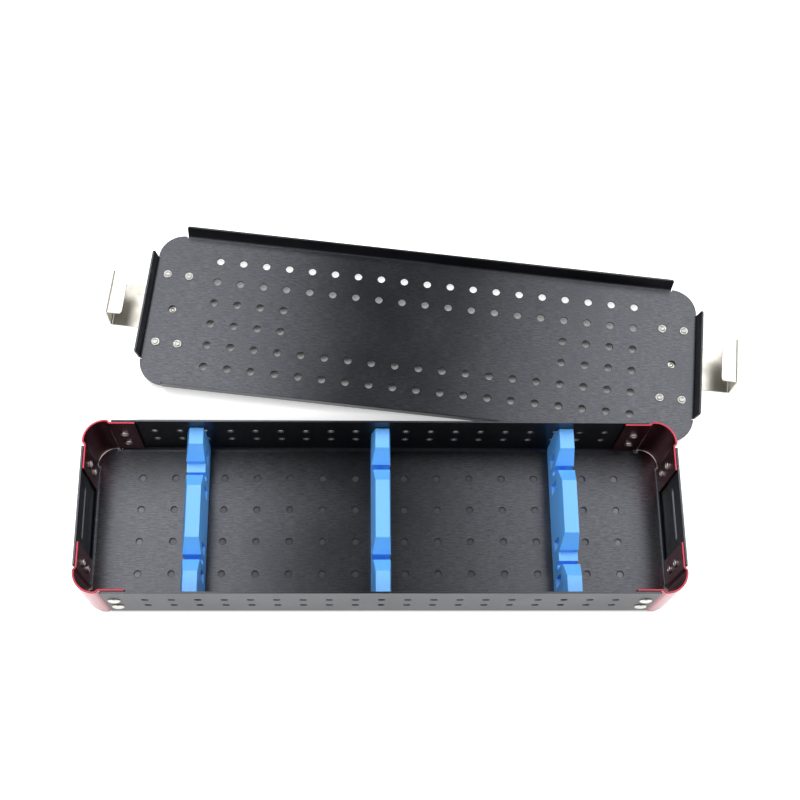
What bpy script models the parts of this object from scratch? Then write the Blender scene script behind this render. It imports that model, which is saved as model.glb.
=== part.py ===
"""Perforated sterilization tray box with racks, a lift-off lid and two sliding hook latches."""
import math

import bmesh
import bpy
from mathutils import Matrix, Vector

OBJECT_NAME = "sterilization_tray_box"

# Fits
FIT_GAP = 0.0003
RIVET_SEAT_GAP = 0.0002
CUT_MARGIN = 0.004

# Tray sheet
TRAY_LENGTH = 0.436
TRAY_WIDTH = 0.129
TRAY_HEIGHT = 0.0615
TRAY_SHEET = 0.0015
TRAY_BEND_RADIUS = 0.003
RIM_CORNER_ROUND = 0.0012
FLOOR_CORNER_GAP = 0.0006

# Tray perforation
HOLE_SIDES = 8
FLOOR_HOLE_DIAMETER = 0.0052
FLOOR_PITCH_X = 0.025
FLOOR_PITCH_Y = 0.0249
FLOOR_ROWS = 4
FLOOR_ROW_SHIFT = 0.0011
FLOOR_END_CLEARANCE = 0.030
BAY_COLUMNS = 5
WALL_HOLE_DIAMETER = 0.005
WALL_PITCH = 0.01875
WALL_ROW_HEIGHTS = (0.0234, 0.0405)
WALL_HOLE_TO_BRACKET = 0.008

# End slots, entered by the latch lips
SLOT_BELOW_RIM = 0.021
SLOT_SIDE_CLEARANCE = 0.0018
SLOT_LIP_CLEARANCE = 0.0019
SLOT_ROUND_SHARE = 0.4

# Corner brackets, from the corner outward along each leg
BRACKET_SHEET = 0.0015
BRACKET_RADIUS = 0.016
JOGGLE_FROM_ARC = 0.0005
JOGGLE_LENGTH = 0.0027
JOGGLE_TO_WALL = 0.0008
WALL_EDGE_TO_RIVET = 0.0073
RIVET_TO_LEG_TIP = 0.0102
LEG_BEND_CLEARANCE = 0.0006
JOGGLE_STEPS = 4
ARC_STEPS = 8
CORNERS = (
    ("front_left", -1, -1),
    ("front_right", 1, -1),
    ("rear_left", -1, 1),
    ("rear_right", 1, 1),
)

# Tray rivets
RIVET_HEIGHTS = (0.0205, 0.0395)
RIVET_SHANK_DIAMETER = 0.0040
RIVET_HEAD_DIAMETER = 0.0090
RIVET_HEAD_RISE = 0.0018
RIVET_TAIL_DIAMETER = 0.0064
RIVET_TAIL_RISE = 0.0011
RIVET_PIT_SHARE = 0.47
RIVET_PIT_DEPTH_SHARE = 0.6
RIVET_SIDES = 10
HEAD_STEPS = 2

# Instrument racks
RACK_PITCH = 0.0375
RACK_HEIGHT = 0.048
RACK_THICKNESS = 0.014
RACK_TAPER_DEPTH = 0.012
RACK_TAPER_LEFT = 0.0026
RACK_TAPER_RIGHT = 0.0009
NOTCH_SLIT_WIDTH = 0.0048
NOTCH_SLIT_DEPTH = 0.026
NOTCH_SLOPE_RUN = 0.010
NOTCH_REAR_DROP = 0.012
NOTCH_FRONT_DROP = 0.007
NOTCH_LEDGE_RUN = 0.007
NOTCH_LEDGE_DROP = 0.017
WINDOW_WEB = 0.0040
WINDOW_SILL_HALF = 0.0040
WINDOW_SILL = 0.013
WINDOW_BELOW_TOP = 0.0135
WINDOW_CROWN_RADIUS = 0.0030
PEG_DIAMETER = 0.0044
PEG_FROM_CENTRE = 0.048
PEG_RECESS = 0.0003
REAR_NOTCH = 0.0352
FRONT_NOTCH = -0.0330
LEDGED_REAR_NOTCH = 0.0307
LEDGED_FRONT_NOTCH = -0.0363

# Each rack with its rear and front notch: place along the rack, ledge behind the slit
RACKS = (
    ("left", (LEDGED_REAR_NOTCH, True), (FRONT_NOTCH, False)),
    ("centre", (REAR_NOTCH, False), (FRONT_NOTCH, False)),
    ("right", (REAR_NOTCH, False), (LEDGED_FRONT_NOTCH, True)),
)

# Lid
LID_CLEARANCE = 0.0011
LID_SHEET = 0.0015
LID_BEND_RADIUS = 0.0015
LID_FLANGE_HEIGHT = 0.012
LID_FLANGE_LEAN_DEG = 10.0
LID_FLANGE_FROM_ARC = 0.0007
LID_FLANGE_ROUND = 0.0022
LID_CORNER_RADIUS = 0.0203
LID_HOLE_DIAMETER = 0.0060
LID_PITCH_X = 0.01875
LID_PITCH_Y = 0.0185
LID_HOLE_TO_GUIDE = 0.012
LID_ROWS = 6
LID_SHORT_ROWS = (2, 3)
LID_SHORT_ROW_END_HOLES = 4
LID_YAW_DEG = -6.5
LID_CENTRE_X = 0.034
LID_STANDOFF = 0.002

# Latch guides and their rivets
GUIDE_END_INSET = 0.0034
GUIDE_LENGTH = 0.030
GUIDE_SHEET = 0.0012
GUIDE_BRIM = 0.0150
GUIDE_RIVET_FROM_END = 0.00625
GUIDE_RIVET_FROM_CHANNEL = 0.0085
LID_RIVET_HEAD_RISE = 0.0010
LID_RIVET_HEAD_DIAMETER = 0.0074
LID_RIVET_SHANK_DIAMETER = 0.0032
LID_RIVET_TAIL_DIAMETER = 0.0066
LID_RIVET_TAIL_RISE = 0.0007

# Sliding hook latches
LATCH_SHEET = 0.0012
LATCH_WIDTH = 0.0364
LATCH_LIP = 0.013
LATCH_TAIL = 0.0125
LATCH_TRAVEL = 0.0242
LATCH_BEND_RADIUS = 0.0012
LATCH_LID_GAP = 0.0009
LATCH_CORNER_ROUND = 0.0024
DIMPLE_RADIUS = 0.0019
DIMPLE_TOP_RADIUS = 0.0008
DIMPLE_RISE = 0.0006
BEND_STEPS = 4
CORNER_STEPS = 3

# Finishes as linear colour, metallic, roughness
FINISHES = {
    "black_anodised": ((0.030, 0.031, 0.034, 1.0), 0.9, 0.42),
    "red_anodised": ((0.52, 0.020, 0.045, 1.0), 0.85, 0.35),
    "blue_silicone": ((0.055, 0.33, 0.87, 1.0), 0.0, 0.55),
    "stainless_steel": ((0.62, 0.61, 0.59, 1.0), 1.0, 0.26),
    "rivet_steel": ((0.56, 0.56, 0.55, 1.0), 1.0, 0.34),
}
SHARP_ANGLE_DEG = 35.0
WELD = 0.000001
ROUND_PROFILE_SHARE = 0.5

# Section drawings stand in the YZ plane, their first axis along Y
SECTION_TO_YZ = Matrix(((0, 0, 1, 0), (1, 0, 0, 0), (0, 1, 0, 0), (0, 0, 0, 1)))

# Tray places
half_x = TRAY_LENGTH / 2
half_y = TRAY_WIDTH / 2
joggle_start = BRACKET_RADIUS + JOGGLE_FROM_ARC
joggle_end = joggle_start + JOGGLE_LENGTH
wall_setback = joggle_end + JOGGLE_TO_WALL
rivet_setback = wall_setback + WALL_EDGE_TO_RIVET
bracket_reach = rivet_setback + RIVET_TO_LEG_TIP
rack_base = TRAY_SHEET + FIT_GAP
rack_spacing = (BAY_COLUMNS - 1) * FLOOR_PITCH_X + RACK_PITCH
peg_bore = PEG_DIAMETER + 2 * FIT_GAP
rivet_bore = RIVET_SHANK_DIAMETER + 2 * FIT_GAP
rivet_grip = TRAY_SHEET + FIT_GAP + BRACKET_SHEET

# Lid places
lid_half_x = half_x + LID_CLEARANCE
lid_half_y = half_y + LID_CLEARANCE
lid_lean = math.radians(LID_FLANGE_LEAN_DEG)
flange_spread = LID_FLANGE_HEIGHT * math.tan(lid_lean) + LID_SHEET / math.cos(lid_lean)
plate_drop = LID_SHEET + LATCH_LID_GAP + LATCH_SHEET / 2
brim_drop = LID_SHEET + RIVET_SEAT_GAP + GUIDE_SHEET / 2
web_drop = plate_drop + LATCH_SHEET / 2 + FIT_GAP + GUIDE_SHEET / 2
lid_face_height = web_drop + GUIDE_SHEET / 2
guide_centre = lid_half_x - GUIDE_END_INSET - GUIDE_LENGTH / 2
guide_foot = LATCH_WIDTH / 2 + FIT_GAP + GUIDE_SHEET / 2
guide_shoulder = guide_foot + web_drop - brim_drop
guide_rivet_x = GUIDE_LENGTH / 2 - GUIDE_RIVET_FROM_END
guide_rivet_y = guide_shoulder + GUIDE_RIVET_FROM_CHANNEL
guide_bore = LID_RIVET_SHANK_DIAMETER + 2 * FIT_GAP
latch_closed_face = lid_half_x + flange_spread + FIT_GAP


def collection(name):
    """Return a new collection linked to the scene."""
    group = bpy.data.collections.new(name)
    bpy.context.scene.collection.children.link(group)
    return group


def finish(name):
    """Return the material of one named finish."""
    material = bpy.data.materials.get(name)
    if material:
        return material
    colour, metallic, roughness = FINISHES[name]
    material = bpy.data.materials.new(name)
    material.use_nodes = True
    shader = material.node_tree.nodes["Principled BSDF"]
    shader.inputs["Base Color"].default_value = colour
    shader.inputs["Metallic"].default_value = metallic
    shader.inputs["Roughness"].default_value = roughness
    material.diffuse_color = colour
    return material


def add_object(name, mesh, group, matrix=None, parent=None):
    """Link a mesh object into a collection, placed on its parent or in the world."""
    thing = bpy.data.objects.new(name, mesh)
    group.objects.link(thing)
    thing.parent = parent
    if matrix is not None:
        thing.matrix_basis = matrix
    return thing


def as_part(thing, finish_name):
    """Give a part its finish and smooth shading with sharp edges."""
    if not thing.data.materials:
        thing.data.materials.append(finish(finish_name))
    thing.data.shade_smooth()
    thing.data.set_sharp_from_angle(angle=math.radians(SHARP_ANGLE_DEG))
    return thing


def cutters(meshes, group, matrix=None, parent=None):
    """Return helper objects that are only used by Boolean modifiers."""
    helpers = []
    for mesh in meshes:
        helper = add_object(mesh.name, mesh, group, matrix, parent)
        helper.hide_render = True
        helper.display_type = "WIRE"
        helpers.append(helper)
    return helpers


def combine(target, helpers, operation):
    """Add one exact Boolean modifier to a part for each helper."""
    for helper in helpers:
        modifier = target.modifiers.new(operation.title() + "_" + helper.name, "BOOLEAN")
        modifier.operation = operation
        modifier.solver = "EXACT"
        modifier.object = helper


def store(shape, name):
    """Turn a working shape into a named mesh."""
    mesh = bpy.data.meshes.new(name)
    shape.to_mesh(mesh)
    shape.free()
    return mesh


def turn_outward(shape):
    """Make the faces of a closed shape agree and point outward."""
    bmesh.ops.recalc_face_normals(shape, faces=shape.faces)
    measured = shape.copy()
    bmesh.ops.triangulate(measured, faces=measured.faces)
    volume = measured.calc_volume(signed=True)
    measured.free()
    if volume < 0:
        bmesh.ops.reverse_faces(shape, faces=shape.faces)


def mesh_of(thing):
    """Return the evaluated mesh of an object, welded, and remove the object."""
    name = thing.name
    bpy.context.view_layer.update()
    graph = bpy.context.evaluated_depsgraph_get()
    evaluated = bpy.data.meshes.new_from_object(thing.evaluated_get(graph))
    bpy.data.objects.remove(thing)
    shape = bmesh.new()
    shape.from_mesh(evaluated)
    bpy.data.meshes.remove(evaluated)
    bmesh.ops.remove_doubles(shape, verts=shape.verts, dist=WELD)
    turn_outward(shape)
    return store(shape, name)


def slab_mesh(name, outline, thickness):
    """Return a plate cut to a closed outline, centred on its own plane."""
    curve = bpy.data.curves.new(name, "CURVE")
    curve.dimensions = "2D"
    curve.fill_mode = "BOTH"
    curve.extrude = thickness / 2
    spline = curve.splines.new("POLY")
    spline.points.add(len(outline) - 1)
    for point, (a, b) in zip(spline.points, outline):
        point.co = (a, b, 0, 1)
    spline.use_cyclic_u = True
    return mesh_of(add_object(name, curve, bpy.context.scene.collection))


def section_slab(name, outline, thickness, place):
    """Return a slab whose outline is a section drawing, moved to its place."""
    mesh = slab_mesh(name, outline, thickness)
    mesh.transform(Matrix.Translation(place) @ SECTION_TO_YZ)
    return mesh


def drawn_mesh(name, near, far):
    """Return the open surface between two rows of points."""
    shape = bmesh.new()
    rows = [[shape.verts.new(place) for place in row] for row in (near, far)]
    for index in range(len(near) - 1):
        low, high = rows
        shape.faces.new((low[index], low[index + 1], high[index + 1], high[index]))
    return store(shape, name)


def arc(centre, radius, start_deg, end_deg, steps):
    """Return points along a circular arc, both ends included."""
    points = []
    for step in range(steps + 1):
        angle = math.radians(start_deg + (end_deg - start_deg) * step / steps)
        points.append((centre[0] + radius * math.cos(angle), centre[1] + radius * math.sin(angle)))
    return points


def rounded_box(half_a, half_b, radius, steps):
    """Return the outline of a rectangle with rounded corners."""
    outline = []
    for sign_a, sign_b, start in ((1, 1, 0), (-1, 1, 90), (-1, -1, 180), (1, -1, 270)):
        centre = (sign_a * (half_a - radius), sign_b * (half_b - radius))
        outline += arc(centre, radius, start, start + 90, steps)
    return outline


def folded_mesh(name, flat, lobe, radius, run, path):
    """Return a flat with rounded corner lobes and four bent-up sides as one open surface."""
    shape = bmesh.new()
    outline, edges = [], []
    for sign_x, sign_y, start in ((1, 1, 0), (-1, 1, 90), (-1, -1, 180), (1, -1, 270)):
        centre = (sign_x * (lobe[0] - radius), sign_y * (lobe[1] - radius))
        corner = arc(centre, radius, start, start + 90, ARC_STEPS)
        end = [(sign_x * flat[0], sign_y * run[1]), (sign_x * flat[0], centre[1])]
        side = [(centre[0], sign_y * flat[1]), (sign_x * run[0], sign_y * flat[1])]
        points = end + corner + side if sign_x == sign_y else side[::-1] + corner + end[::-1]
        verts = [shape.verts.new((x, y, 0)) for x, y in points]
        outline += verts
        edges.append((verts[0], verts[-1]))
    shape.faces.new(outline)
    for index, (sign, axis) in enumerate(((1, 1), (-1, 0), (-1, 1), (1, 0))):
        row = (edges[index][1], edges[(index + 1) % len(edges)][0])
        for across, height in path:
            moved = []
            for vert in row:
                place = vert.co.copy()
                place[axis] = sign * (flat[axis] + across)
                place.z = height
                moved.append(shape.verts.new(place))
            shape.faces.new((row[0], row[1], moved[1], moved[0]))
            row = moved
    return store(shape, name)


def bend_path(rise, radius, angle):
    """Return a bend and the straight above it, measured outward from the bend line."""
    path = []
    for step in range(1, BEND_STEPS + 1):
        part = angle * step / BEND_STEPS
        path.append((radius * math.sin(part), radius - radius * math.cos(part)))
    across, height = path[-1]
    return path + [(across + (rise - height) / math.tan(angle), rise)]


def thicken(thing, thickness):
    """Give an open surface its sheet thickness, half to each side."""
    modifier = thing.modifiers.new("Sheet", "SOLIDIFY")
    modifier.solidify_mode = "NON_MANIFOLD"
    modifier.nonmanifold_thickness_mode = "CONSTRAINTS"
    modifier.thickness = thickness
    modifier.offset = 0


def round_corners(mesh, thickness, radius, at_end, at_edge):
    """Round the free corners of a sheet, where its end and its edge meet."""
    shape = bmesh.new()
    shape.from_mesh(mesh)
    corners = []
    for edge in shape.edges:
        across_sheet = edge.calc_length() < thickness + WELD
        if across_sheet and all(at_end(vert.co) and at_edge(vert.co) for vert in edge.verts):
            corners.append(edge)
    bmesh.ops.bevel(
        shape, geom=corners, offset=radius, offset_type="OFFSET",
        segments=CORNER_STEPS, profile=ROUND_PROFILE_SHARE, affect="EDGES",
    )
    shape.to_mesh(mesh)
    shape.free()


def sheet_mesh(surface, thickness, radius, at_end, at_edge):
    """Return a bent sheet as a solid mesh with its free corners rounded."""
    thing = add_object(surface.name, surface, bpy.context.scene.collection)
    thicken(thing, thickness)
    mesh = mesh_of(thing)
    round_corners(mesh, thickness, radius, at_end, at_edge)
    return mesh


def ends_of(run):
    """Return a test for places at the ends of the bent-up sides."""

    def at_end(place):
        near_x = abs(abs(place.x) - run[0]) < WELD
        near_y = abs(abs(place.y) - run[1]) < WELD
        return near_x or near_y

    return at_end


def cylinders_mesh(name, centres, axis, diameter, length, sides):
    """Return a set of equal cylinders along one axis as one mesh."""
    turns = {
        "X": Matrix.Rotation(math.radians(90), 4, "Y"),
        "Y": Matrix.Rotation(math.radians(90), 4, "X"),
        "Z": Matrix.Identity(4),
    }
    shape = bmesh.new()
    for centre in centres:
        bmesh.ops.create_cone(
            shape, cap_ends=True, segments=sides, radius1=diameter / 2, radius2=diameter / 2,
            depth=length, matrix=Matrix.Translation(centre) @ turns[axis],
        )
    return store(shape, name)


def boxes_mesh(name, boxes):
    """Return axis-aligned boxes, each given by two opposite corners, as one mesh."""
    shape = bmesh.new()
    for first, second in boxes:
        first, second = Vector(first), Vector(second)
        size = [abs(length) for length in second - first]
        matrix = Matrix.Translation((first + second) / 2) @ Matrix.Diagonal((*size, 1))
        bmesh.ops.create_cube(shape, size=1, matrix=matrix)
    return store(shape, name)


def centred(count, pitch):
    """Return evenly spaced places centred on zero."""
    return [(index - (count - 1) / 2) * pitch for index in range(count)]


def filling(reach, pitch):
    """Return evenly spaced places on both sides of zero, as far as the reach."""
    return centred(2 * math.floor(reach / pitch) + 1, pitch)


# Tray
def tray_shell(parts, tools):
    """Floor and four bent-up walls with all perforation, slots, rivet and peg holes."""
    bend = TRAY_BEND_RADIUS + TRAY_SHEET / 2
    flat = (half_x - TRAY_SHEET / 2 - bend, half_y - TRAY_SHEET / 2 - bend)
    inset = BRACKET_SHEET + FLOOR_CORNER_GAP
    lobe = (half_x - inset, half_y - inset)
    run = (half_x - wall_setback, half_y - wall_setback)
    rise = TRAY_HEIGHT - TRAY_SHEET / 2
    path = bend_path(rise, bend, math.radians(90))
    surface = folded_mesh("tray_surface", flat, lobe, BRACKET_RADIUS - inset, run, path)

    def at_rim(place):
        return place.z > rise - WELD

    mesh = sheet_mesh(surface, TRAY_SHEET, RIM_CORNER_ROUND, ends_of(run), at_rim)
    mesh.transform(Matrix.Translation((0, 0, TRAY_SHEET / 2)))
    shell = as_part(add_object("tray_shell", mesh, parts), "black_anodised")
    combine(shell, cutters(tray_cutters(), tools), "DIFFERENCE")


def rack_places():
    """Return the rack positions, one bay of floor holes apart."""
    return centred(len(RACKS), rack_spacing)


def floor_columns():
    """Return the floor hole columns: full bays between racks, and what fits at the ends."""
    columns = []
    for rack in rack_places():
        for index in range(BAY_COLUMNS):
            place = rack + RACK_PITCH / 2 + index * FLOOR_PITCH_X
            if rack > -WELD and place < half_x - FLOOR_END_CLEARANCE:
                columns += [place, -place]
    return columns


def tray_cutters():
    """Return the cutting shapes of the tray: perforation, end slots, rivet and peg holes."""
    rows = [y + FLOOR_ROW_SHIFT for y in centred(FLOOR_ROWS, FLOOR_PITCH_Y)]
    floor = [(x, y, 0) for x in floor_columns() for y in rows]
    pegs = [(x, side * PEG_FROM_CENTRE, 0) for x in rack_places() for side in (-1, 1)]
    wall_columns = filling(half_x - bracket_reach - WALL_HOLE_TO_BRACKET, WALL_PITCH)
    walls = [(x, 0, z) for x in wall_columns for z in WALL_ROW_HEIGHTS]
    rivet_x = half_x - rivet_setback
    rivet_y = half_y - rivet_setback
    side_rivets = [(side * rivet_x, 0, z) for side in (-1, 1) for z in RIVET_HEIGHTS]
    end_rivets = [(0, side * rivet_y, z) for side in (-1, 1) for z in RIVET_HEIGHTS]
    through_floor = 2 * TRAY_SHEET + CUT_MARGIN
    through_x = TRAY_LENGTH + CUT_MARGIN
    through_y = TRAY_WIDTH + CUT_MARGIN
    half_length = LATCH_WIDTH / 2 + SLOT_SIDE_CLEARANCE
    half_height = LATCH_SHEET / 2 + SLOT_LIP_CLEARANCE
    slot_round = 2 * half_height * SLOT_ROUND_SHARE
    slot = rounded_box(half_length, half_height, slot_round, CORNER_STEPS)
    slot_place = (0, 0, TRAY_HEIGHT - SLOT_BELOW_RIM)
    return [
        cylinders_mesh("floor_holes", floor, "Z", FLOOR_HOLE_DIAMETER, through_floor, HOLE_SIDES),
        cylinders_mesh("peg_holes", pegs, "Z", peg_bore, through_floor, HOLE_SIDES),
        cylinders_mesh("wall_holes", walls, "Y", WALL_HOLE_DIAMETER, through_y, HOLE_SIDES),
        cylinders_mesh("side_rivet_holes", side_rivets, "Y", rivet_bore, through_y, HOLE_SIDES),
        cylinders_mesh("end_rivet_holes", end_rivets, "X", rivet_bore, through_x, HOLE_SIDES),
        section_slab("end_slots", slot, through_x, slot_place),
    ]


# Corner brackets
def bracket_leg():
    """Return one leg in section: distance from the corner, depth from the outer face."""
    outer = BRACKET_SHEET / 2
    inner = TRAY_SHEET + FIT_GAP + outer
    points = [(bracket_reach, inner)]
    for step in range(JOGGLE_STEPS + 1):
        share = step / JOGGLE_STEPS
        ease = (1 - math.cos(math.pi * share)) / 2
        along = joggle_end + (joggle_start - joggle_end) * share
        points.append((along, inner + (outer - inner) * ease))
    return points


def corner_bracket(corner, sign_x, sign_y, parts, tools):
    """One upright corner strip: rounded corner, joggled legs inside the walls, rivet holes."""
    name = "corner_bracket_" + corner
    leg = bracket_leg()
    centre = (half_x - BRACKET_RADIUS, half_y - BRACKET_RADIUS)
    path = [(half_x - along, half_y - depth) for along, depth in leg]
    path += arc(centre, BRACKET_RADIUS - BRACKET_SHEET / 2, 90, 0, ARC_STEPS)
    path += [(half_x - depth, half_y - along) for along, depth in reversed(leg)]
    low = [(sign_x * x, sign_y * y, 0) for x, y in path]
    high = [(sign_x * x, sign_y * y, TRAY_HEIGHT) for x, y in path]
    surface = drawn_mesh(name, low, high)
    bracket = as_part(add_object(name, surface, parts), "red_anodised")
    thicken(bracket, BRACKET_SHEET)
    combine(bracket, cutters(bracket_cutters(name, sign_x, sign_y), tools), "DIFFERENCE")


def bracket_cutters(name, sign_x, sign_y):
    """Return the cutting shapes of one bracket: feet of both legs and four rivet holes."""
    foot = TRAY_SHEET + TRAY_BEND_RADIUS + LEG_BEND_CLEARANCE
    leg_start = wall_setback - JOGGLE_TO_WALL / 2
    reach = bracket_reach + CUT_MARGIN
    depth = TRAY_SHEET + BRACKET_SHEET + CUT_MARGIN
    feet = []
    for near_x, far_x, near_y, far_y in (
        (leg_start, reach, -CUT_MARGIN, depth),
        (-CUT_MARGIN, depth, leg_start, reach),
    ):
        first = (sign_x * (half_x - near_x), sign_y * (half_y - near_y), -CUT_MARGIN)
        second = (sign_x * (half_x - far_x), sign_y * (half_y - far_y), foot)
        feet.append((first, second))
    span = 2 * depth
    side = [(sign_x * (half_x - rivet_setback), sign_y * half_y, z) for z in RIVET_HEIGHTS]
    end = [(sign_x * half_x, sign_y * (half_y - rivet_setback), z) for z in RIVET_HEIGHTS]
    return [
        boxes_mesh(name + "_feet", feet),
        cylinders_mesh(name + "_side_bores", side, "Y", rivet_bore, span, HOLE_SIDES),
        cylinders_mesh(name + "_end_bores", end, "X", rivet_bore, span, HOLE_SIDES),
    ]


# Rivets
def rivet_profile(name, grip, shank, head, head_rise, tail, tail_rise):
    """Return a half section from the head down: dome, shank of the grip, tail with its pit."""
    seat = grip + RIVET_SEAT_GAP
    foot = -RIVET_SEAT_GAP
    pit = tail / 2 * RIVET_PIT_SHARE
    places = []
    for step in range(HEAD_STEPS + 1):
        angle = math.radians(90) * step / HEAD_STEPS
        places.append((head / 2 * math.sin(angle), seat + head_rise * math.cos(angle)))
    places += [
        (shank / 2, seat),
        (shank / 2, foot),
        (tail / 2, foot),
        ((tail / 2 + pit) / 2, foot - tail_rise),
        (pit, foot - tail_rise),
        (0, foot - tail_rise * (1 - RIVET_PIT_DEPTH_SHARE)),
    ]
    shape = bmesh.new()
    verts = [shape.verts.new((radius, 0, height)) for radius, height in places]
    for first, second in zip(verts, verts[1:]):
        shape.edges.new((first, second))
    return store(shape, name)


def add_rivet(name, profile, matrix, parts, parent=None):
    """Turn the shared rivet profile about its axis and place it."""
    rivet = as_part(add_object(name, profile, parts, matrix, parent), "rivet_steel")
    turning = rivet.modifiers.new("Turning", "SCREW")
    turning.axis = "Z"
    turning.steps = RIVET_SIDES
    turning.render_steps = RIVET_SIDES
    turning.use_merge_vertices = True
    turning.merge_threshold = WELD
    turning.use_smooth_shade = True


def corner_rivets(corner, sign_x, sign_y, profile, parts):
    """Four rivets of one bracket, heads outside the walls and tails inside the legs."""
    walls = (
        ("side", (half_x - rivet_setback, half_y - rivet_grip), -90 * sign_y, "X"),
        ("end", (half_x - rivet_grip, half_y - rivet_setback), 90 * sign_x, "Y"),
    )
    for wall, (x, y), turn_deg, axis in walls:
        turn = Matrix.Rotation(math.radians(turn_deg), 4, axis)
        for level, height in zip(("lower", "upper"), RIVET_HEIGHTS):
            name = "rivet_" + corner + "_" + wall + "_" + level
            matrix = Matrix.Translation((sign_x * x, sign_y * y, height)) @ turn
            add_rivet(name, profile, matrix, parts)


# Instrument racks
def notch_points(centre, ledge):
    """Return one notch from rear to front: long slope, optional ledge, slit and short slope."""
    slit_rear = centre + NOTCH_SLIT_WIDTH / 2
    slit_front = centre - NOTCH_SLIT_WIDTH / 2
    cut_rear = slit_rear + (NOTCH_LEDGE_RUN if ledge else 0)
    floor_radius = NOTCH_SLIT_WIDTH / 2
    points = [
        (cut_rear + NOTCH_SLOPE_RUN, RACK_HEIGHT),
        (cut_rear, RACK_HEIGHT - NOTCH_REAR_DROP),
    ]
    if ledge:
        ledge_height = RACK_HEIGHT - NOTCH_LEDGE_DROP
        points += [(cut_rear, ledge_height), (slit_rear, ledge_height)]
    slit_floor = RACK_HEIGHT - NOTCH_SLIT_DEPTH + floor_radius
    points += arc((centre, slit_floor), floor_radius, 0, -180, CORNER_STEPS)
    points += [
        (slit_front, RACK_HEIGHT - NOTCH_FRONT_DROP),
        (slit_front - NOTCH_SLOPE_RUN, RACK_HEIGHT),
    ]
    return points


def rack_outline(rear, front):
    """Return the side view of a rack, given its two notches as (centre, ledge)."""
    end = half_y - TRAY_SHEET - FIT_GAP
    foot = TRAY_BEND_RADIUS
    outline = [(-end + foot, 0), (end - foot, 0), (end, foot), (end, RACK_HEIGHT)]
    outline += notch_points(*rear) + notch_points(*front)
    outline += [(-end, RACK_HEIGHT), (-end, foot)]
    return outline


def window_outline(place):
    """Return a window with a round crown and a flat sill."""
    crown = RACK_HEIGHT - WINDOW_BELOW_TOP - WINDOW_CROWN_RADIUS
    outline = arc((place, crown), WINDOW_CROWN_RADIUS, 0, 180, 2 * CORNER_STEPS)
    outline += [(place - WINDOW_SILL_HALF, WINDOW_SILL), (place + WINDOW_SILL_HALF, WINDOW_SILL)]
    return outline


def taper_outline(sign, taper):
    """Return the wedge cut off one side of a rack's top, in its end view."""
    face = RACK_THICKNESS / 2
    outside = face + CUT_MARGIN
    low = RACK_HEIGHT - RACK_TAPER_DEPTH
    top = RACK_HEIGHT + CUT_MARGIN
    lean = taper / RACK_TAPER_DEPTH
    wedge = [(face, low), (outside, low), (outside, top), (face - lean * (top - low), top)]
    return [(sign * across, height) for across, height in wedge]


def rack_cutters(name, x, notches):
    """Return the cutting shapes of one rack: side tapers and windows beside its notches."""
    meshes = []
    upright = Matrix.Translation((x, 0, rack_base)) @ Matrix.Rotation(math.radians(90), 4, "X")
    for side, sign, taper in (("left", -1, RACK_TAPER_LEFT), ("right", 1, RACK_TAPER_RIGHT)):
        mesh = slab_mesh(name + "_taper_" + side, taper_outline(sign, taper), TRAY_WIDTH)
        mesh.transform(upright)
        meshes.append(mesh)
    offset = NOTCH_SLIT_WIDTH / 2 + WINDOW_WEB + WINDOW_SILL_HALF
    through = RACK_THICKNESS + CUT_MARGIN
    for end, (centre, ledge) in zip(("rear", "front"), notches):
        step = NOTCH_LEDGE_RUN if ledge else 0
        for side, place in (("behind", centre + offset + step), ("before", centre - offset)):
            window = name + "_window_" + end + "_" + side
            meshes.append(section_slab(window, window_outline(place), through, (x, 0, rack_base)))
    return meshes


def instrument_rack(label, x, notches, parts, tools):
    """One moulded rack with two notches, flexing windows and two pegs in the floor."""
    name = "instrument_rack_" + label
    mesh = section_slab(name, rack_outline(*notches), RACK_THICKNESS, (x, 0, rack_base))
    rack = as_part(add_object(name, mesh, parts), "blue_silicone")
    peg_top = rack_base + PEG_DIAMETER / 2
    peg_length = peg_top - PEG_RECESS
    middle = peg_top - peg_length / 2
    centres = [(x, side * PEG_FROM_CENTRE, middle) for side in (-1, 1)]
    pegs = cylinders_mesh(name + "_pegs", centres, "Z", PEG_DIAMETER, peg_length, HOLE_SIDES)
    combine(rack, cutters([pegs], tools), "UNION")
    combine(rack, cutters(rack_cutters(name, x, notches), tools), "DIFFERENCE")


# Lid
def lid_base(parts):
    """Return the empty that places the lid: upside down behind the tray, clear of its rivets."""
    yaw = math.radians(LID_YAW_DEG)
    away = Vector((-math.sin(yaw), math.cos(yaw)))
    rivet = Vector((half_x - rivet_setback + RIVET_HEAD_DIAMETER / 2, half_y + RIVET_HEAD_RISE))
    distance = rivet.dot(away) + lid_half_y + flange_spread + LID_STANDOFF
    centre_y = (distance - LID_CENTRE_X * away.x) / away.y
    base = bpy.data.objects.new("lid_base", None)
    parts.objects.link(base)
    base.location = (LID_CENTRE_X, centre_y, lid_face_height)
    base.rotation_euler.z = yaw
    return base


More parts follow.
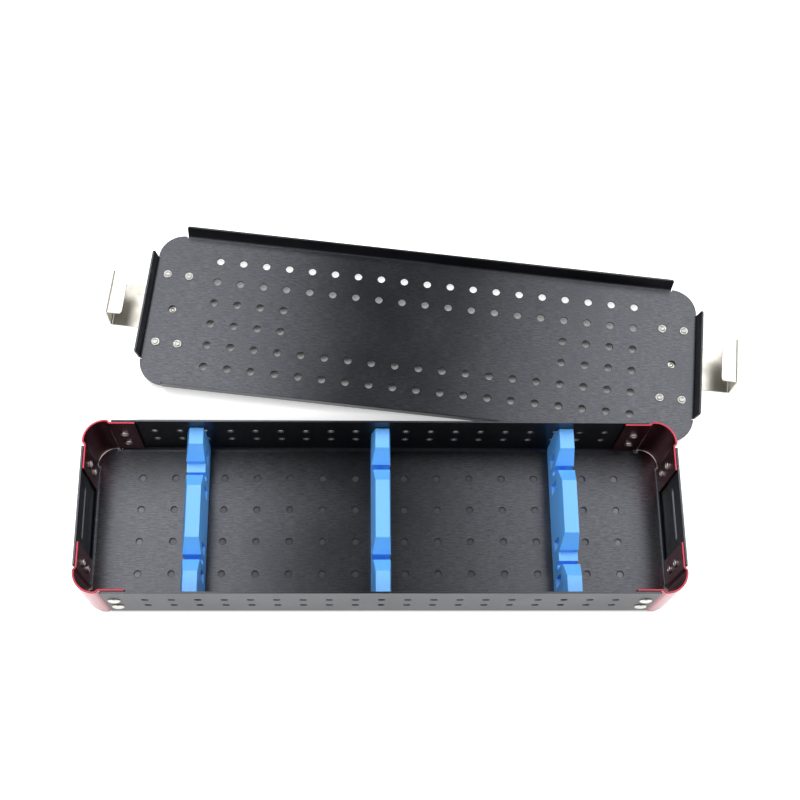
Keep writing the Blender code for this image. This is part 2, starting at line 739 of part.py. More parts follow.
def lid_sheet(base, parts, tools):
    """Flat perforated lid with rounded corners and four leaning flanges, inner face up."""
    flat = (lid_half_x - LID_BEND_RADIUS, lid_half_y - LID_BEND_RADIUS)
    setback = LID_CORNER_RADIUS + LID_FLANGE_FROM_ARC
    run = (lid_half_x - setback, lid_half_y - setback)
    rise = LID_FLANGE_HEIGHT + LID_SHEET / 2
    path = bend_path(rise, LID_BEND_RADIUS + LID_SHEET / 2, math.radians(90) - lid_lean)
    lobe = (lid_half_x, lid_half_y)
    surface = folded_mesh("lid_surface", flat, lobe, LID_CORNER_RADIUS, run, path)
    low_edge = rise - LID_SHEET * math.sin(lid_lean)

    def at_edge(place):
        return place.z > low_edge - WELD

    mesh = sheet_mesh(surface, LID_SHEET, LID_FLANGE_ROUND, ends_of(run), at_edge)
    mesh.transform(Matrix.Translation((0, 0, -LID_SHEET / 2)))
    sheet = as_part(add_object("lid_sheet", mesh, parts, parent=base), "black_anodised")
    combine(sheet, cutters(lid_cutters(), tools, parent=base), "DIFFERENCE")


def lid_rivet_places():
    """Return the lid rivet positions by name."""
    places = {}
    for side, sign in (("left", -1), ("right", 1)):
        for row, across in (("rear", 1), ("front", -1)):
            for column, step in (("inner", -1), ("outer", 1)):
                x = sign * (guide_centre + step * guide_rivet_x)
                places[side + "_" + row + "_" + column] = (x, across * guide_rivet_y)
    return places


def lid_cutters():
    """Return the cutting shapes of the lid: perforation, detent holes and rivet holes."""
    columns = filling(guide_centre - GUIDE_LENGTH / 2 - LID_HOLE_TO_GUIDE, LID_PITCH_X)
    ends = columns[:LID_SHORT_ROW_END_HOLES] + columns[-LID_SHORT_ROW_END_HOLES:]
    holes = [(side * guide_centre, 0, 0) for side in (-1, 1)]
    for row, y in enumerate(centred(LID_ROWS, LID_PITCH_Y)):
        holes += [(x, y, 0) for x in (ends if row in LID_SHORT_ROWS else columns)]
    rivets = [(x, y, 0) for x, y in lid_rivet_places().values()]
    length = 2 * LID_SHEET + CUT_MARGIN
    return [
        cylinders_mesh("lid_holes", holes, "Z", LID_HOLE_DIAMETER, length, HOLE_SIDES),
        cylinders_mesh("lid_rivet_holes", rivets, "Z", guide_bore, length, HOLE_SIDES),
    ]


def latch_guide(side, sign, base, parts, tools):
    """Hat-shaped guide riveted under one end of the lid, with a channel for the latch plate."""
    name = "latch_guide_" + side
    half = [
        (guide_foot, -web_drop),
        (guide_shoulder, -brim_drop),
        (guide_shoulder + GUIDE_BRIM, -brim_drop),
    ]
    path = [(-across, height) for across, height in reversed(half)] + half
    near, far = [[(end, y, z) for y, z in path] for end in (-GUIDE_LENGTH / 2, GUIDE_LENGTH / 2)]
    place = Matrix.Translation((sign * guide_centre, 0, 0))
    surface = drawn_mesh(name, near, far)
    guide = as_part(add_object(name, surface, parts, place, base), "stainless_steel")
    thicken(guide, GUIDE_SHEET)
    centres = []
    for along in (-guide_rivet_x, guide_rivet_x):
        for across in (-guide_rivet_y, guide_rivet_y):
            centres.append((along, across, -brim_drop))
    length = GUIDE_SHEET + CUT_MARGIN
    bores = cylinders_mesh(name + "_bores", centres, "Z", guide_bore, length, HOLE_SIDES)
    combine(guide, cutters([bores], tools, place, base), "DIFFERENCE")


def lid_rivets(base, parts):
    """Eight lid rivets, domed heads under the guides and ring-shaped tails on the inner face."""
    grip = LID_SHEET + RIVET_SEAT_GAP + GUIDE_SHEET
    profile = rivet_profile(
        "lid_rivet", grip, LID_RIVET_SHANK_DIAMETER, LID_RIVET_HEAD_DIAMETER,
        LID_RIVET_HEAD_RISE, LID_RIVET_TAIL_DIAMETER, LID_RIVET_TAIL_RISE,
    )
    flip = Matrix.Rotation(math.radians(180), 4, "X")
    for label, (x, y) in lid_rivet_places().items():
        matrix = Matrix.Translation((x, y, 0)) @ flip
        add_rivet("lid_rivet_" + label, profile, matrix, parts, base)


# Sliding hook latches
def latch_path(reach):
    """Return the latch in section: plate from the tail to the bend, upright wall, inward lip."""
    bend = LATCH_BEND_RADIUS + LATCH_SHEET / 2
    centre = reach - LATCH_SHEET / 2 - bend
    lip_height = SLOT_BELOW_RIM + plate_drop
    path = [(-LATCH_TAIL, 0)]
    path += arc((centre, bend), bend, -90, 0, BEND_STEPS)
    path += arc((centre, lip_height - bend), bend, 0, 90, BEND_STEPS)
    path.append((reach - LATCH_LIP, lip_height))
    return path


def latch_hook(side, sign, base, parts, tools):
    """One hook latch drawn out to its open end, with a detent dimple facing the lid."""
    name = "latch_hook_" + side
    reach = latch_closed_face + LATCH_SHEET + LATCH_TRAVEL - guide_centre

    def at_side(place):
        return abs(place.y) > LATCH_WIDTH / 2 - WELD

    def at_free_end(place):
        on_lip = place.z > SLOT_BELOW_RIM and place.x < reach - LATCH_LIP + WELD
        on_tail = place.x < WELD - LATCH_TAIL
        return on_lip or on_tail

    path = latch_path(reach)
    near, far = [[(x, end, z) for x, z in path] for end in (-LATCH_WIDTH / 2, LATCH_WIDTH / 2)]
    surface = drawn_mesh(name, near, far)
    mesh = sheet_mesh(surface, LATCH_SHEET, LATCH_CORNER_ROUND, at_side, at_free_end)
    turn = Matrix.Rotation(0 if sign > 0 else math.pi, 4, "Z")
    place = Matrix.Translation((sign * guide_centre, 0, -plate_drop)) @ turn
    hook = as_part(add_object(name, mesh, parts, place, base), "stainless_steel")
    root = LATCH_SHEET / 2
    shape = bmesh.new()
    bmesh.ops.create_cone(
        shape, cap_ends=True, segments=HOLE_SIDES, radius1=DIMPLE_RADIUS, radius2=DIMPLE_TOP_RADIUS,
        depth=DIMPLE_RISE + root, matrix=Matrix.Translation((0, 0, (DIMPLE_RISE + root) / 2)),
    )
    dimple = store(shape, name + "_dimple")
    combine(hook, cutters([dimple], tools, place, base), "UNION")


def main():
    """Build the whole tray box."""
    for thing in list(bpy.data.objects):
        bpy.data.objects.remove(thing)
    parts = collection(OBJECT_NAME)
    tools = collection("cutters")
    tray_shell(parts, tools)
    rivet = rivet_profile(
        "tray_rivet", rivet_grip, RIVET_SHANK_DIAMETER, RIVET_HEAD_DIAMETER,
        RIVET_HEAD_RISE, RIVET_TAIL_DIAMETER, RIVET_TAIL_RISE,
    )
    for corner, sign_x, sign_y in CORNERS:
        corner_bracket(corner, sign_x, sign_y, parts, tools)
        corner_rivets(corner, sign_x, sign_y, rivet, parts)
    for (label, *notches), x in zip(RACKS, rack_places()):
        instrument_rack(label, x, notches, parts, tools)
    base = lid_base(parts)
    lid_sheet(base, parts, tools)
    lid_rivets(base, parts)
    for side, sign in (("left", -1), ("right", 1)):
        latch_guide(side, sign, base, parts, tools)
        latch_hook(side, sign, base, parts, tools)


main()
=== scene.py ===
"""Looks of the perforated sterilization tray box: formed sheet, racks, lid, latches and studio."""
from __future__ import annotations

import logging
import math
from dataclasses import dataclass
from enum import Enum
from typing import Any, Callable, Sequence

import bmesh
import bpy
from mathutils import Matrix, Vector
from mathutils.geometry import intersect_point_line

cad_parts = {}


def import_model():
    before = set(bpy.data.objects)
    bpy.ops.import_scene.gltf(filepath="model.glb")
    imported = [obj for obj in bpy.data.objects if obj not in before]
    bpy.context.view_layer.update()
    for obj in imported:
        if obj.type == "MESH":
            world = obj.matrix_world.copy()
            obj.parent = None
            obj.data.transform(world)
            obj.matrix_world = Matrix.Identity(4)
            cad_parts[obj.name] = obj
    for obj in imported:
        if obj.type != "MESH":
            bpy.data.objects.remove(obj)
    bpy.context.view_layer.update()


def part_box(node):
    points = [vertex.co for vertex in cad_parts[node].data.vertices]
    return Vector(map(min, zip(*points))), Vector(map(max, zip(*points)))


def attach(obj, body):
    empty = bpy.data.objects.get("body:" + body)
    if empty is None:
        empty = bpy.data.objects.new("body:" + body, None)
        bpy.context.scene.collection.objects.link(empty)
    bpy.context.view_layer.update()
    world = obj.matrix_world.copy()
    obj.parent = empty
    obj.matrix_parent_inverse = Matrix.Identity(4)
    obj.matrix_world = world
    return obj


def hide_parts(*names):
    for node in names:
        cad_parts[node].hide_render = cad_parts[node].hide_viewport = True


LOG = logging.getLogger("tray_box")

MM = 0.001
RIGHT_ANGLE = math.radians(90)
HALF_TURN = math.radians(180)
FULL_TURN = 2 * HALF_TURN
# Faces that meet at more than this keep a sharp edge between them
SHARP_ANGLE = math.radians(38)
# Edges sharper than this are rounded, unless a piece has its own value
EDGE_ANGLE = math.radians(50)
# Points that lie closer than this are one
TINY = 0.001 * MM
# An open edge is joined to a point that lies closer to it than this
SEAM = 0.005 * MM
# How far the cutters of a piece reach past it
CUT_OVERRUN = 2.0 * MM
IMAGE_PIXELS = 800

# Straight pieces of a bend, of a sheet's corner lobe and of a small rounding, and sides of a bore
BEND_STEPS = 8
LOBE_STEPS = 20
ROUND_STEPS = 6
BORE_SIDES = 20
# The profile of a bevel that makes it a true arc
ROUND_PROFILE = 0.5
# The range of a noise over which a finish goes from one end of its gloss to the other
CLOUD_LOW = 0.35
CLOUD_HIGH = 0.65

BOTH_SIDES = (-1, 1)
QUARTER = 90
# The corners of an outline in turn: the signs of both axes, and the degree where its round starts
QUADRANTS = ((1, 1, 0), (-1, 1, 90), (-1, -1, 180), (1, -1, 270))
# Stands a section drawing up in the YZ plane, its first axis along Y
SECTION_TO_YZ = Matrix(((0, 0, 1, 0), (1, 0, 0, 0), (0, 1, 0, 0), (0, 0, 0, 1)))

Point = tuple[float, float]
Place = tuple[float, float, float]
# What the inputs of a node get, by name, or by index where names repeat: 6 and 7 are the colours
# of a Mix node, and 0 to 4 a Map Range node's value, its two limits and what it makes of them
Inputs = dict[str | int, Any]


class Body(Enum):
    """Bodies of the frame that pieces ride on."""

    TRAY = "tray"
    LID = "lid"
    LATCH_LEFT = "latch_left"
    LATCH_RIGHT = "latch_right"


class Slot(Enum):
    """Material slots of the record."""

    TRAY_BLACK = "tray_black"
    LID_BLACK = "lid_black"
    BRACKET_RED = "bracket_red"
    RACK_SILICONE = "rack_silicone"
    RIVET_METAL = "rivet_metal"
    LID_RIVET_METAL = "lid_rivet_metal"
    GUIDE_STEEL = "guide_steel"
    HOOK_STEEL = "hook_steel"


class Axis(Enum):
    """Directions that a hole can run in, with the turn that lays an upright shape along it."""

    X = Matrix.Rotation(RIGHT_ANGLE, 4, "Y")
    Y = Matrix.Rotation(RIGHT_ANGLE, 4, "X")
    Z = Matrix.Identity(4)


class Side(Enum):
    """The two ends of the box, with the sign of X there."""

    LEFT = ("left", -1)
    RIGHT = ("right", 1)


class Corner(Enum):
    """The four corners of the tray, with the signs of X and Y there."""

    FRONT_LEFT = ("front_left", -1, -1)
    FRONT_RIGHT = ("front_right", 1, -1)
    REAR_LEFT = ("rear_left", -1, 1)
    REAR_RIGHT = ("rear_right", 1, 1)


def linear(hex_colour: str) -> tuple[float, float, float, float]:
    """Turn an sRGB hex colour to linear RGBA.

    Args:
        hex_colour: A colour such as "#6fb9f5".

    Returns:
        The linear red, green and blue, and an alpha of one.
    """
    channels = []
    for start in (1, 3, 5):
        value = int(hex_colour[start:start + 2], 16) / 255
        # The curve of the sRGB standard, with a straight foot near black
        low = value <= 0.04045
        channels.append(value / 12.92 if low else ((value + 0.055) / 1.055) ** 2.4)
    return (*channels, 1.0)


def set_inputs(tree: bpy.types.NodeTree, node: bpy.types.Node, inputs: Inputs) -> None:
    """Set or link the inputs of a node.

    Args:
        tree: The node tree that holds the node.
        node: The node.
        inputs: By input name or index, a value, an output, or a node whose first output is meant.
    """
    for key, value in inputs.items():
        source = value.outputs[0] if isinstance(value, bpy.types.Node) else value
        if isinstance(source, bpy.types.NodeSocket):
            tree.links.new(source, node.inputs[key])
        else:
            node.inputs[key].default_value = source


def add_node(
    tree: bpy.types.NodeTree, kind: str, inputs: Inputs | None = None, **settings: Any
) -> bpy.types.Node:
    """Add one node with its settings and links.

    Args:
        tree: The node tree that gets the node.
        kind: The node's type name.
        inputs: What its inputs get, as in set_inputs.
        settings: Properties of the node.

    Returns:
        The new node.
    """
    node = tree.nodes.new(kind)
    for name, value in settings.items():
        setattr(node, name, value)
    set_inputs(tree, node, inputs or {})
    return node


def new_material(name: str) -> tuple[bpy.types.Material, bpy.types.NodeTree, bpy.types.Node]:
    """Make an empty node material.

    Args:
        name: The material's name.

    Returns:
        The material, its node tree and its Principled shader.
    """
    material = bpy.data.materials.new(name)
    material.use_nodes = True
    return material, material.node_tree, material.node_tree.nodes["Principled BSDF"]


def sheet_coordinates(tree: bpy.types.NodeTree, turn: float) -> bpy.types.Node:
    """Unfold the bent sheet, so that its grain runs over the bends as on the flat blank.

    Args:
        tree: The material's node tree.
        turn: The angle that the sheet lies turned by.

    Returns:
        A node that gives coordinates in metres: along the grain, across it, and zero.
    """
    place = add_node(tree, "ShaderNodeTexCoord")
    axes = []
    for name in ("Normal", "Object"):
        inputs = {"Vector": place.outputs[name], "Angle": -turn}
        axes.append(add_node(tree, "ShaderNodeVectorRotate", inputs, rotation_type="Z_AXIS"))
    bent = add_node(tree, "ShaderNodeVectorMath", {0: axes[0]}, operation="ABSOLUTE")
    lean, flat = [
        add_node(tree, "ShaderNodeSeparateXYZ", {0: vector}) for vector in (bent, axes[1])
    ]
    values = {}
    for axis in ("X", "Y"):
        inputs = {0: lean.outputs[axis], 1: flat.outputs["Z"], 2: flat.outputs[axis]}
        values[axis] = add_node(tree, "ShaderNodeMath", inputs, operation="MULTIPLY_ADD")
    return add_node(tree, "ShaderNodeCombineXYZ", values)


def grain_noise(
    tree: bpy.types.NodeTree, place: Any, length: float, width: float, detail: float = 2.0
) -> bpy.types.Node:
    """Add a noise drawn out into streaks.

    Args:
        tree: The material's node tree.
        place: Coordinates in metres, as an output or a node.
        length: Length of a streak in metres.
        width: Width of a streak in metres.
        detail: Octaves of finer streaks.

    Returns:
        A node that gives the noise, zero to one.
    """
    scale = (1 / length, 1 / width, 1 / width)
    drawn = add_node(tree, "ShaderNodeVectorMath", {0: place, 1: scale}, operation="MULTIPLY")
    return add_node(tree, "ShaderNodeTexNoise", {"Vector": drawn, "Scale": 1.0, "Detail": detail})


@dataclass(frozen=True)
class BrushedAnodisedAluminium:
    """Sheet aluminium, brushed along its length, then anodised black.

    The dyed oxide keeps a little of the metal's gloss, so the sheet mirrors the lamps softly as
    a dark grey and is nearly black elsewhere. The brushing shows as short streaks. Real ones
    are about 0.1 mm wide; they are drawn three to six times coarser, so that they show in a
    picture of the whole box. They spread the lamps' gleam across the grain and hardly along it.
    Along a bend the stretched oxide is crazed, which dulls its gleam.
    """

    name: str = "brushed_black_anodised_aluminium"
    turn: float = 0.0
    dark: str = "#3d3e42"
    light: str = "#4e4f53"
    metal_share: float = 0.97
    roughness_low: float = 0.3
    roughness_high: float = 0.34
    anisotropy: float = 0.82
    bend_dulling: float = 0.2
    streak_length: float = 8.0 * MM
    streak_width: float = 0.6 * MM
    fine_length: float = 3.0 * MM
    fine_width: float = 0.35 * MM
    streak_low: float = 0.75
    streak_high: float = 1.25
    cloud: float = 60.0 * MM
    tone_low: float = 0.1
    tone_high: float = 0.5
    bump_depth: float = 0.02 * MM
    bump_strength: float = 0.22
    bend_low: float = 0.9
    bend_high: float = 0.98
    scratch_cell: float = 38.0 * MM
    scratch_width: float = 0.012
    scratch_warp: float = 0.5
    worn_patch: float = 0.7
    worn_low: float = 0.56
    worn_high: float = 0.66

    def build(self) -> bpy.types.Material:
        """Make the finish.

        Returns:
            The material.
        """
        material, tree, shader = new_material(self.name)
        place = sheet_coordinates(tree, self.turn)
        coarse = grain_noise(tree, place, self.streak_length, self.streak_width)
        fine = grain_noise(tree, place, self.fine_length, self.fine_width)
        cloud = grain_noise(tree, place, self.cloud, self.cloud)
        both = add_node(tree, "ShaderNodeMath", {0: coarse, 1: fine}, operation="ADD")
        limits = {0: both, 1: self.streak_low, 2: self.streak_high}
        streak = add_node(tree, "ShaderNodeMapRange", limits)
        tone = add_node(tree, "ShaderNodeMath", {0: streak, 1: cloud}, operation="MULTIPLY")
        limits = {0: tone, 1: self.tone_low, 2: self.tone_high}
        share = add_node(tree, "ShaderNodeMapRange", limits)
        colours = {0: share, 6: linear(self.dark), 7: linear(self.light)}
        colour = add_node(tree, "ShaderNodeMix", colours, data_type="RGBA")
        gloss = {0: cloud, 1: CLOUD_LOW, 2: CLOUD_HIGH}
        gloss |= {3: self.roughness_low, 4: self.roughness_high}
        gloss = add_node(tree, "ShaderNodeMapRange", gloss)
        gloss = {0: self.bends(tree), 1: self.bend_dulling, 2: gloss}
        relief = {0: both, 1: self.scratches(tree, place)}
        height = add_node(tree, "ShaderNodeMath", relief, operation="SUBTRACT")
        bump = {"Height": height, "Distance": self.bump_depth, "Strength": self.bump_strength}
        set_inputs(tree, shader, {
            "Base Color": colour.outputs[2],
            "Metallic": self.metal_share,
            "Roughness": add_node(tree, "ShaderNodeMath", gloss, operation="MULTIPLY_ADD"),
            "Anisotropic": self.anisotropy,
            "Tangent": add_node(tree, "ShaderNodeTangent", direction_type="RADIAL", axis="X"),
            "Normal": add_node(tree, "ShaderNodeBump", bump),
        })
        return material

    def bends(self, tree: bpy.types.NodeTree) -> bpy.types.Node:
        """Find the bends, where the surface faces along none of the sheet's main directions.

        Args:
            tree: The material's node tree.

        Returns:
            A node that gives one on a bend and zero on the flats.
        """
        place = add_node(tree, "ShaderNodeTexCoord")
        inputs = {"Vector": place.outputs["Normal"], "Angle": -self.turn}
        facing = add_node(tree, "ShaderNodeVectorRotate", inputs, rotation_type="Z_AXIS")
        facing = add_node(tree, "ShaderNodeVectorMath", {0: facing}, operation="ABSOLUTE")
        axes = add_node(tree, "ShaderNodeSeparateXYZ", {0: facing})
        most = axes.outputs["Z"]
        for axis in ("X", "Y"):
            inputs = {0: most, 1: axes.outputs[axis]}
            most = add_node(tree, "ShaderNodeMath", inputs, operation="MAXIMUM")
        inputs = {0: most, 1: self.bend_low, 2: self.bend_high, 3: 1.0, 4: 0.0}
        return add_node(tree, "ShaderNodeMapRange", inputs)

    def scratches(self, tree: bpy.types.NodeTree, place: bpy.types.Node) -> bpy.types.Node:
        """Add a few long hairline scratches from handling.

        Args:
            tree: The material's node tree.
            place: Coordinates of the flat sheet in metres.

        Returns:
            A node that gives one on a scratch and zero elsewhere.
        """
        inputs = {"Vector": place, "Scale": self.scratch_warp / self.scratch_cell}
        warp = add_node(tree, "ShaderNodeTexNoise", inputs)
        inputs = {0: warp.outputs["Color"], 1: (self.scratch_cell,) * 3, 2: place}
        bent = add_node(tree, "ShaderNodeVectorMath", inputs, operation="MULTIPLY_ADD")
        inputs = {"Vector": bent, "Scale": 1 / self.scratch_cell}
        cells = add_node(tree, "ShaderNodeTexVoronoi", inputs, feature="DISTANCE_TO_EDGE")
        inputs = {0: cells, 1: 0.0, 2: self.scratch_width, 3: 1.0, 4: 0.0}
        line = add_node(tree, "ShaderNodeMapRange", inputs)
        inputs = {"Vector": place, "Scale": self.worn_patch / self.scratch_cell}
        worn = add_node(tree, "ShaderNodeTexNoise", inputs)
        mask = add_node(tree, "ShaderNodeMapRange", {0: worn, 1: self.worn_low, 2: self.worn_high})
        return add_node(tree, "ShaderNodeMath", {0: line, 1: mask}, operation="MULTIPLY")


@dataclass(frozen=True)
class DyedAnodisedAluminium:
    """Strip aluminium, bead blasted and anodised red: a deep metallic red with a satin gloss.

    The clear sealed oxide over the dye mirrors the white table palely where it is grazed. The
    blasted grain is drawn about three times coarser than the real 0.1 mm, so that it shows.
    """

    name: str = "satin_red_anodised_aluminium"
    deep: str = "#7a1223"
    bright: str = "#8c1d30"
    roughness: float = 0.34
    oxide_gloss: float = 0.55
    oxide_roughness: float = 0.25
    blast_grain: float = 0.35 * MM
    cloud: float = 12.0 * MM
    bump_depth: float = 0.012 * MM
    bump_strength: float = 0.3

    def build(self) -> bpy.types.Material:
        """Make the finish.

        Returns:
            The material.
        """
        material, tree, shader = new_material(self.name)
        place = add_node(tree, "ShaderNodeTexCoord").outputs["Object"]
        grain = grain_noise(tree, place, self.blast_grain, self.blast_grain)
        cloud = grain_noise(tree, place, self.cloud, self.cloud)
        colours = {0: cloud, 6: linear(self.deep), 7: linear(self.bright)}
        bump = {"Height": grain, "Distance": self.bump_depth, "Strength": self.bump_strength}
        set_inputs(tree, shader, {
            "Base Color": add_node(tree, "ShaderNodeMix", colours, data_type="RGBA").outputs[2],
            "Metallic": 1.0,
            "Roughness": self.roughness,
            "Coat Weight": self.oxide_gloss,
            "Coat Roughness": self.oxide_roughness,
            "Normal": add_node(tree, "ShaderNodeBump", bump),
        })
        return material


@dataclass(frozen=True)
class MouldedSilicone:
    """Silicone rubber, compression moulded and dyed through.

    Light enters a little under its satin skin, which softens its edges and shades. The skin
    has the faint, wide grain of the mould.
    """

    name: str = "moulded_blue_silicone"
    body: str = "#58acff"
    pale: str = "#66b5ff"
    roughness: float = 0.5
    gloss: float = 0.85
    mould_grain: float = 0.8 * MM
    cloud: float = 18.0 * MM
    bump_depth: float = 0.02 * MM
    bump_strength: float = 0.25
    depth: float = 1.2 * MM
    depth_share: float = 0.15
    depth_colour: Place = (0.3, 0.7, 1.0)

    def build(self) -> bpy.types.Material:
        """Make the finish.

        Returns:
            The material.
        """
        material, tree, shader = new_material(self.name)
        place = add_node(tree, "ShaderNodeTexCoord").outputs["Object"]
        grain = grain_noise(tree, place, self.mould_grain, self.mould_grain)
        cloud = grain_noise(tree, place, self.cloud, self.cloud)
        colours = {0: cloud, 6: linear(self.body), 7: linear(self.pale)}
        bump = {"Height": grain, "Distance": self.bump_depth, "Strength": self.bump_strength}
        set_inputs(tree, shader, {
            "Base Color": add_node(tree, "ShaderNodeMix", colours, data_type="RGBA").outputs[2],
            "Roughness": self.roughness,
            "Specular IOR Level": self.gloss,
            "Subsurface Weight": self.depth_share,
            "Subsurface Radius": self.depth_colour,
            "Subsurface Scale": self.depth,
            "Normal": add_node(tree, "ShaderNodeBump", bump),
        })
        return material


@dataclass(frozen=True)
class StainlessSteel:
    """Stainless steel, rolled or tumbled to a satin: bright, with faint lines.

    The lines lie along the strip. They are drawn about three times coarser than the real
    0.1 mm, so that they show.
    """

    name: str
    turn: float = 0.0
    colour: str = "#b6b3ac"
    shade: str = "#a5a29a"
    roughness_low: float = 0.3
    roughness_high: float = 0.4
    line_length: float = 30.0 * MM
    line_width: float = 0.35 * MM
    cloud: float = 9.0 * MM
    bump_depth: float = 0.008 * MM
    bump_strength: float = 0.3

    def build(self) -> bpy.types.Material:
        """Make the finish.

        Returns:
            The material.
        """
        material, tree, shader = new_material(self.name)
        place = add_node(tree, "ShaderNodeTexCoord")
        inputs = {"Vector": place.outputs["Object"], "Angle": -self.turn}
        place = add_node(tree, "ShaderNodeVectorRotate", inputs, rotation_type="Z_AXIS")
        lines = grain_noise(tree, place, self.line_length, self.line_width)
        cloud = grain_noise(tree, place, self.cloud, self.cloud)
        colours = {0: cloud, 6: linear(self.colour), 7: linear(self.shade)}
        gloss = {0: cloud, 1: CLOUD_LOW, 2: CLOUD_HIGH}
        gloss |= {3: self.roughness_low, 4: self.roughness_high}
        bump = {"Height": lines, "Distance": self.bump_depth, "Strength": self.bump_strength}
        set_inputs(tree, shader, {
            "Base Color": add_node(tree, "ShaderNodeMix", colours, data_type="RGBA").outputs[2],
            "Metallic": 1.0,
            "Roughness": add_node(tree, "ShaderNodeMapRange", gloss),
            "Normal": add_node(tree, "ShaderNodeBump", bump),
        })
        return material


def store(shape: bmesh.types.BMesh, name: str) -> bpy.types.Mesh:
    """Turn a working shape into a named mesh and free it.

    Args:
        shape: The working shape.
        name: The mesh's name.

    Returns:
        The mesh.
    """
    mesh = bpy.data.meshes.new(name)
    shape.to_mesh(mesh)
    shape.free()
    return mesh


def new_object(name: str, data: bpy.types.ID, matrix: Matrix | None = None) -> bpy.types.Object:
    """Link an object into the scene.

    Args:
        name: The object's name.
        data: Its mesh, lamp or camera.
        matrix: Its place in the frame.

    Returns:
        The object.
    """
    thing = bpy.data.objects.new(name, data)
    bpy.context.scene.collection.objects.link(thing)
    if matrix is not None:
        thing.matrix_world = matrix
    return thing


def settle(thing: bpy.types.Object) -> bpy.types.Object:
    """Apply an object's modifiers to its mesh.

    Args:
        thing: The object.

    Returns:
        The same object, without modifiers.
    """
    bpy.context.view_layer.update()
    graph = bpy.context.evaluated_depsgraph_get()
    mesh = bpy.data.meshes.new_from_object(thing.evaluated_get(graph))
    mesh.name = thing.name
    thing.modifiers.clear()
    thing.data = mesh
    return thing


def weld(thing: bpy.types.Object) -> bpy.types.Object:
    """Join the doubled points of a mesh and turn its faces outward.

    Args:
        thing: The mesh object.

    Returns:
        The same object.
    """
    shape = bmesh.new()
    shape.from_mesh(thing.data)
    bmesh.ops.remove_doubles(shape, verts=shape.verts, dist=TINY)
    bmesh.ops.recalc_face_normals(shape, faces=shape.faces)
    measured = shape.copy()
    bmesh.ops.triangulate(measured, faces=measured.faces)
    if measured.calc_volume(signed=True) < 0:
        bmesh.ops.reverse_faces(shape, faces=shape.faces)
    measured.free()
    shape.to_mesh(thing.data)
    shape.free()
    return thing


def open_points(
    shape: bmesh.types.BMesh
) -> tuple[list[bmesh.types.BMEdge], list[bmesh.types.BMVert]]:
    """Find the open edges of a working shape and the points on them.

    Args:
        shape: The working shape.

    Returns:
        The edges, and the points in the shape's own order.
    """
    edges = [edge for edge in shape.edges if edge.is_boundary]
    ends = {vert for edge in edges for vert in edge.verts}
    return edges, [vert for vert in shape.verts if vert in ends]


def close_seams(thing: bpy.types.Object) -> None:
    """Join the open edges of a mesh to the points that lie on them.

    A bevel that runs into a cut can leave such a hairline seam.

    Args:
        thing: The piece.
    """
    shape = bmesh.new()
    shape.from_mesh(thing.data)
    bmesh.ops.remove_doubles(shape, verts=open_points(shape)[1], dist=TINY)
    edges, points = open_points(shape)
    joined = {}
    for edge in edges:
        first, last = edge.verts
        for point in points:
            if point in edge.verts:
                continue
            nearest, share = intersect_point_line(point.co, first.co, last.co)
            if 0 < share < 1 and (nearest - point.co).length < SEAM:
                joined[bmesh.utils.edge_split(edge, first, share)[1]] = point
                break
    bmesh.ops.weld_verts(shape, targetmap=joined)
    shape.to_mesh(thing.data)
    shape.free()


def slab(name: str, outline: Sequence[Point], thickness: float) -> bpy.types.Object:
    """Make a plate cut to a closed outline, centred on its own plane.

    Args:
        name: The object's name.
        outline: Its corner points.
        thickness: The plate's thickness.

    Returns:
        The plate as a mesh object.
    """
    shape = bmesh.new()
    low, high = [
        [shape.verts.new((a, b, side * thickness / 2)) for a, b in outline] for side in BOTH_SIDES
    ]
    shape.faces.new(high)
    shape.faces.new(reversed(low))
    for index in range(len(outline)):
        after = (index + 1) % len(outline)
        shape.faces.new((low[index], low[after], high[after], high[index]))
    return weld(new_object(name, store(shape, name)))


def between(name: str, near: Sequence[Place], far: Sequence[Place]) -> bpy.types.Object:
    """Make the open surface between two rows of points.

    Args:
        name: The object's name.
        near: The first row.
        far: The second row, point by point.

    Returns:
        The open surface as an object.
    """
    shape = bmesh.new()
    low, high = [[shape.verts.new(place) for place in row] for row in (near, far)]
    for index in range(len(near) - 1):
        shape.faces.new((low[index], low[index + 1], high[index + 1], high[index]))
    return new_object(name, store(shape, name))


def arc(centre: Point, radius: float, start: float, end: float, steps: int) -> list[Point]:
    """Return points along a circular arc.

    Args:
        centre: The arc's centre.
        radius: Its radius.
        start: Its first angle in degrees.
        end: Its last angle in degrees.
        steps: The number of straight pieces.

    Returns:
        The points, both ends included.
    """
    points = []
    for step in range(steps + 1):
        angle = math.radians(start + (end - start) * step / steps)
        points.append((centre[0] + radius * math.cos(angle), centre[1] + radius * math.sin(angle)))
    return points


def centred(count: int, pitch: float) -> list[float]:
    """Return evenly spaced places centred on zero."""
    return [(index - (count - 1) / 2) * pitch for index in range(count)]


def filling(reach: float, pitch: float) -> list[float]:
    """Return evenly spaced places on both sides of zero, as far as the reach."""
    return centred(2 * math.floor(reach / pitch) + 1, pitch)


def thicken(thing: bpy.types.Object, thickness: float) -> bpy.types.Object:
    """Give an open surface its sheet thickness, half to each side, and apply it.

    Args:
        thing: The open surface.
        thickness: The sheet's thickness.

    Returns:
        The same object, now closed.
    """
    modifier = thing.modifiers.new("Sheet", "SOLIDIFY")
    modifier.solidify_mode = "NON_MANIFOLD"
    modifier.nonmanifold_thickness_mode = "CONSTRAINTS"
    modifier.thickness = thickness
    modifier.offset = 0
    return weld(settle(thing))


